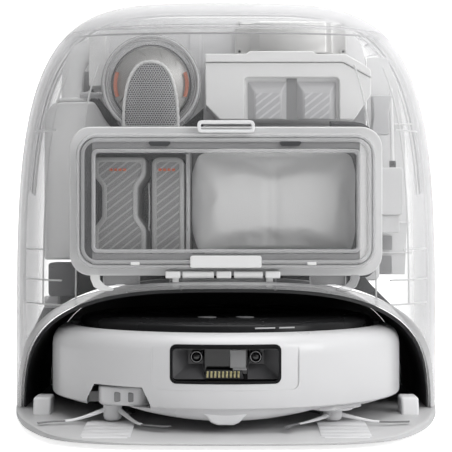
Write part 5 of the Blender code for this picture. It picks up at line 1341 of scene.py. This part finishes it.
# white housing above the right brush
slabPiece("brushHousing", [(0.0810, -0.1420), (0.0860, -0.1500), (0.1000, -0.1500), (0.1180, -0.1330),
                           (0.1275, -0.1180), (0.1275, -0.1020), (0.1120, -0.0960), (0.0850, -0.1000)],
          0.0242, 0.0300, softWhite, axis="Z", bevel=0.0016, segments=3, body="robot")
shape = bmesh.new()                               # belly of the robot below the bumper
loops = []
for step in range(49):
    angle = math.radians(-90 - 31 + 62 * step / 48)
    drop = 0.0106 * math.cos(math.pi / 2 * (step - 24) / 24) ** 0.7 + 0.0004
    ring = []
    for radius, share in ((0.1712, 0.0), (0.1700, 0.45), (0.1668, 0.85), (0.1620, 1.0), (0.1590, 0.94),
                          (0.1590, 0.0)):
        ring.append(shape.verts.new((radius * math.cos(angle), robotMiddle + radius * math.sin(angle),
                                     0.0297 - drop * share)))
    loops.append(ring)
loft(shape, loops)
shape.faces.new(loops[0])
shape.faces.new(list(reversed(loops[-1])))
addMesh("frontBelly", shape, robotWhite, smoothAngle=50, body="robot")
shape = bmesh.new()                               # pale ramp seen through the middle
scoop = [(-0.0215, 0.0262), (-0.0175, 0.0232), (-0.0135, 0.0182), (-0.0080, 0.0160), (0.0070, 0.0160),
         (0.0120, 0.0182), (0.0165, 0.0232), (0.0200, 0.0262)]
addSlab(shape, scoop, -0.1830, -0.1700)
addMesh("frontScoop", shape, softWhite, bevel=0.0022, segments=3, body="robot")
slabPiece("robotBattery", rounded(-0.0448, 0.0598, 0.0371, 0.0508, 0.0020, 4), -0.1348, -0.0652, darkGrey,
          bevel=0.0012, body="robot", replaces=("robot_battery",), slotName="dark_plastic")
slabPiece("robotDustBox", rounded(-0.0748, 0.0748, 0.0471, 0.0863, 0.0050, 5), 0.0042, 0.0698, grey,
          bevel=0.0020, segments=3, body="robot", replaces=("robot_dust_box",), slotName="grey_plastic")

# wheels, caster, main brush
wheel = {"y": -0.008, "z": 0.0451, "radius": 0.0330, "groove": 0.0314, "outer": 0.1138, "inner": 0.0982}
roller = {"y": -0.038, "z": 0.030, "vanes": 6, "half": 0.0770, "twist": 0.75}
for side, label in ((-1, "left"), (1, "right")):
    name = label.capitalize()
    shape = bmesh.new()
    low, high = side * wheel["outer"], side * wheel["inner"]
    rings = []
    for along, inset in ((low, 0.0016), (low * 0.985 + high * 0.015, 0.0),
                         (high * 0.985 + low * 0.015, 0.0), (high, 0.0016)):
        ring = []
        for k in range(180):
            angle = math.tau * k / 180
            r = (wheel["radius"] if (k // 3) % 3 < 2 else wheel["groove"]) - inset
            ring.append(shape.verts.new((along, wheel["y"] + r * math.cos(angle),
                                         wheel["z"] + r * math.sin(angle))))
        rings.append(ring)
    loft(shape, rings)
    shape.faces.new(rings[-1])
    shape.faces.new(list(reversed(rings[0])))
    addTurned(shape, [(0.0, low), (0.0230, low), (0.0242, low - side * 0.0012),
                      (0.0150, low - side * 0.0018), (0.0, low - side * 0.0018)], (0, wheel["y"], wheel["z"]),
              "X", 48)
    addMesh(f"driveWheel{name}", shape, rubber, body=f"wheel_{label}", replaces=(f"drive_wheel_{label}",),
            slotName="black_rubber")
    slabPiece(f"suspensionArm{name}", [(-0.0515, 0.0400), (-0.0080, 0.0388), (-0.0010, 0.0420),
                                       (0.0004, 0.0480), (-0.0040, 0.0545), (-0.0120, 0.0570),
                                       (-0.0400, 0.0622), (-0.0500, 0.0600), (-0.0526, 0.0500)],
              min(side * 0.0898, side * 0.0976), max(side * 0.0898, side * 0.0976), darkGrey, axis="X",
              bevel=0.0012, body=f"arm_{label}", replaces=(f"suspension_arm_{label}",),
              slotName="dark_plastic")
turnedPiece("casterWheel", [(0.0, -0.0058), (0.0068, -0.0058), (0.0080, -0.0050), (0.0089, -0.0030),
                            (0.0090, 0.0), (0.0089, 0.0030), (0.0080, 0.0050), (0.0068, 0.0058),
                            (0.0, 0.0058)], (0, -0.148, 0.0211), rubber, axis="X", count=40,
            body="caster_roller", replaces=("caster_wheel",), slotName="black_rubber")
shape = bmesh.new()
addTurned(shape, [(0.0, 0.0324), (0.0165, 0.0324), (0.0174, 0.0332), (0.0174, 0.0346), (0.0165, 0.0354),
                  (0.0, 0.0354)], (0, -0.150, 0), count=40)
for side in (-1, 1):
    addSlab(shape, [(-0.1528, 0.0170), (-0.1440, 0.0170), (-0.1430, 0.0200), (-0.1440, 0.0322),
                    (-0.1570, 0.0322), (-0.1555, 0.0200)], min(side * 0.0068, side * 0.0098),
            max(side * 0.0068, side * 0.0098), axis="X")
addMesh("casterFork", shape, softWhite, bevel=0.0006, body="caster", replaces=("caster_fork",),
        slotName="white_plastic")
shape = bmesh.new()                               # main brush: core with slanted rubber vanes
addTurned(shape, [(0.0, -0.0798), (0.0088, -0.0798), (0.0092, -0.0790), (0.0092, 0.0790), (0.0088, 0.0798),
                  (0.0, 0.0798)], (0, roller["y"], roller["z"]), "X", 40)
vaneLine = ((0.0088, -0.09), (0.0140, -0.045), (0.0144, 0.0), (0.0140, 0.045), (0.0088, 0.09))
for vane in range(roller["vanes"]):
    strips = []
    for k in range(41):
        x = -roller["half"] + 2 * roller["half"] * k / 40
        angle = math.tau * vane / roller["vanes"] + roller["twist"] * abs(k - 20) / 20
        row = []
        for radius, turn in vaneLine:
            row.append(shape.verts.new((x, -0.038 + radius * math.cos(angle + turn),
                                        0.030 + radius * math.sin(angle + turn))))
        strips.append(row)
    for one, two in zip(strips, strips[1:]):
        for j in range(4):
            shape.faces.new((one[j], one[j + 1], two[j + 1], two[j]))
    shape.faces.new(strips[0])
    shape.faces.new(list(reversed(strips[-1])))
addMesh("mainBrush", shape, rubber, smoothAngle=50, body="main_brush", replaces=("roller_brush",),
        slotName="grey_plastic")

# mops
mop = {"x": 0.066, "y": 0.075, "rows": 0.0024, "tuft": 0.00028, "top": 0.0185, "rim": 0.052, "soft": 0.010}
for side, label in ((-1, "left"), (1, "right")):
    name = label.capitalize()
    centre = (side * mop["x"], mop["y"])
    turnedPiece(f"mopHolder{name}", [(0.0, 0.0192), (0.0505, 0.0192), (0.0518, 0.0200), (0.0520, 0.0214),
                                     (0.0512, 0.0230), (0.0495, 0.0236), (0.0210, 0.0237), (0.0, 0.0237)],
                (*centre, 0), grey, count=64, body=f"mop_{label}", replaces=(f"mop_holder_{label}",),
                slotName="grey_plastic")
    shape = bmesh.new()
    profile = [(0.0, 0.01300), (0.0560, 0.01300), (0.0596, 0.01345), (0.0612, 0.01440), (0.0617, 0.0158),
               (0.0611, 0.0172), (0.0590, 0.0182), (0.0545, 0.01860), (0.0, 0.01860)]
    path = []
    for (r0, z0), (r1, z1) in zip(profile, profile[1:]):
        count = max(1, int(abs(r1 - r0) / mop["rows"]))
        path += [(r0 + (r1 - r0) * k / count, z0 + (z1 - z0) * k / count) for k in range(count)]
    path.append(profile[-1])
    addTurned(shape, path, (*centre, 0), count=160)
    for point in shape.verts:                     # looped pile: small tufts in slanted rows
        dx, dy = point.co.x - centre[0], point.co.y - centre[1]
        r, angle = math.hypot(dx, dy), math.atan2(dy, dx)
        if r < 0.002 or point.co.z > mop["top"]:
            continue
        tuft = math.sin(40 * angle + r * 420) * math.sin(r * 1250 + 6 * math.sin(7 * angle))
        lump = mop["tuft"] * tuft
        rim = min(max((r - mop["rim"]) / mop["soft"], 0.0), 1.0)
        point.co.z += lump * (1 - rim) * (0.9 if lump > 0 else 0.5)
        point.co.x += dx / r * (lump * 1.3 - 0.00035) * rim
        point.co.y += dy / r * (lump * 1.3 - 0.00035) * rim
    pad = addMesh(f"mopPad{name}", shape, mopCloth, smoothAngle=80, body=f"mop_{label}",
                  replaces=(f"mop_pad_{label}",), slotName="mop_cloth")
print("robot ready")

# feet and the fan motor
feet = {"places": ((-0.150, -0.150), (0.150, -0.150), (-0.175, 0.175), (0.175, 0.175)), "rings": 2}
for number, (x, y) in enumerate(feet["places"], 1):
    shape = bmesh.new()
    addTurned(shape, [(0.0, 0.0), (0.0104, 0.0), (0.0116, 0.0006), (0.0120, 0.0016), (0.0120, 0.0036),
                      (0.0117, 0.0040), (0.0, 0.0040)], (x, y, 0), count=40)
    for ring in range(feet["rings"]):
        radius = 0.0040 + 0.0035 * ring
        addTube(shape, circle((x, y, 0.0006), radius, 24, True), 0.00055, 6, loop=True)
    addMesh(f"rubberFoot{number}", shape, rubber, replaces=(f"rubber_foot_{number}",),
            slotName="black_rubber")
shape = bmesh.new()
addTurned(shape, [(0.0, -0.0195), (0.0270, -0.0195), (0.0298, -0.0180), (0.0300, 0.0120), (0.0285, 0.0150),
                  (0.0240, 0.0165), (0.0230, 0.0240), (0.0, 0.0245)], (fanX, 0, fanZ), "Y", 72)
for k in range(fan["motorRibs"]):
    angle = math.tau * k / fan["motorRibs"]
    addTube(shape, [(fanX + 0.0262 * math.cos(angle), 0.0163, fanZ + 0.0262 * math.sin(angle)),
                    (fanX + 0.0243 * math.cos(angle), 0.0236, fanZ + 0.0243 * math.sin(angle))], 0.0012, 6)
addMesh("fanMotor", shape, darkGrey, replaces=("fan_motor",), slotName="dark_plastic")
bpy.context.view_layer.update()
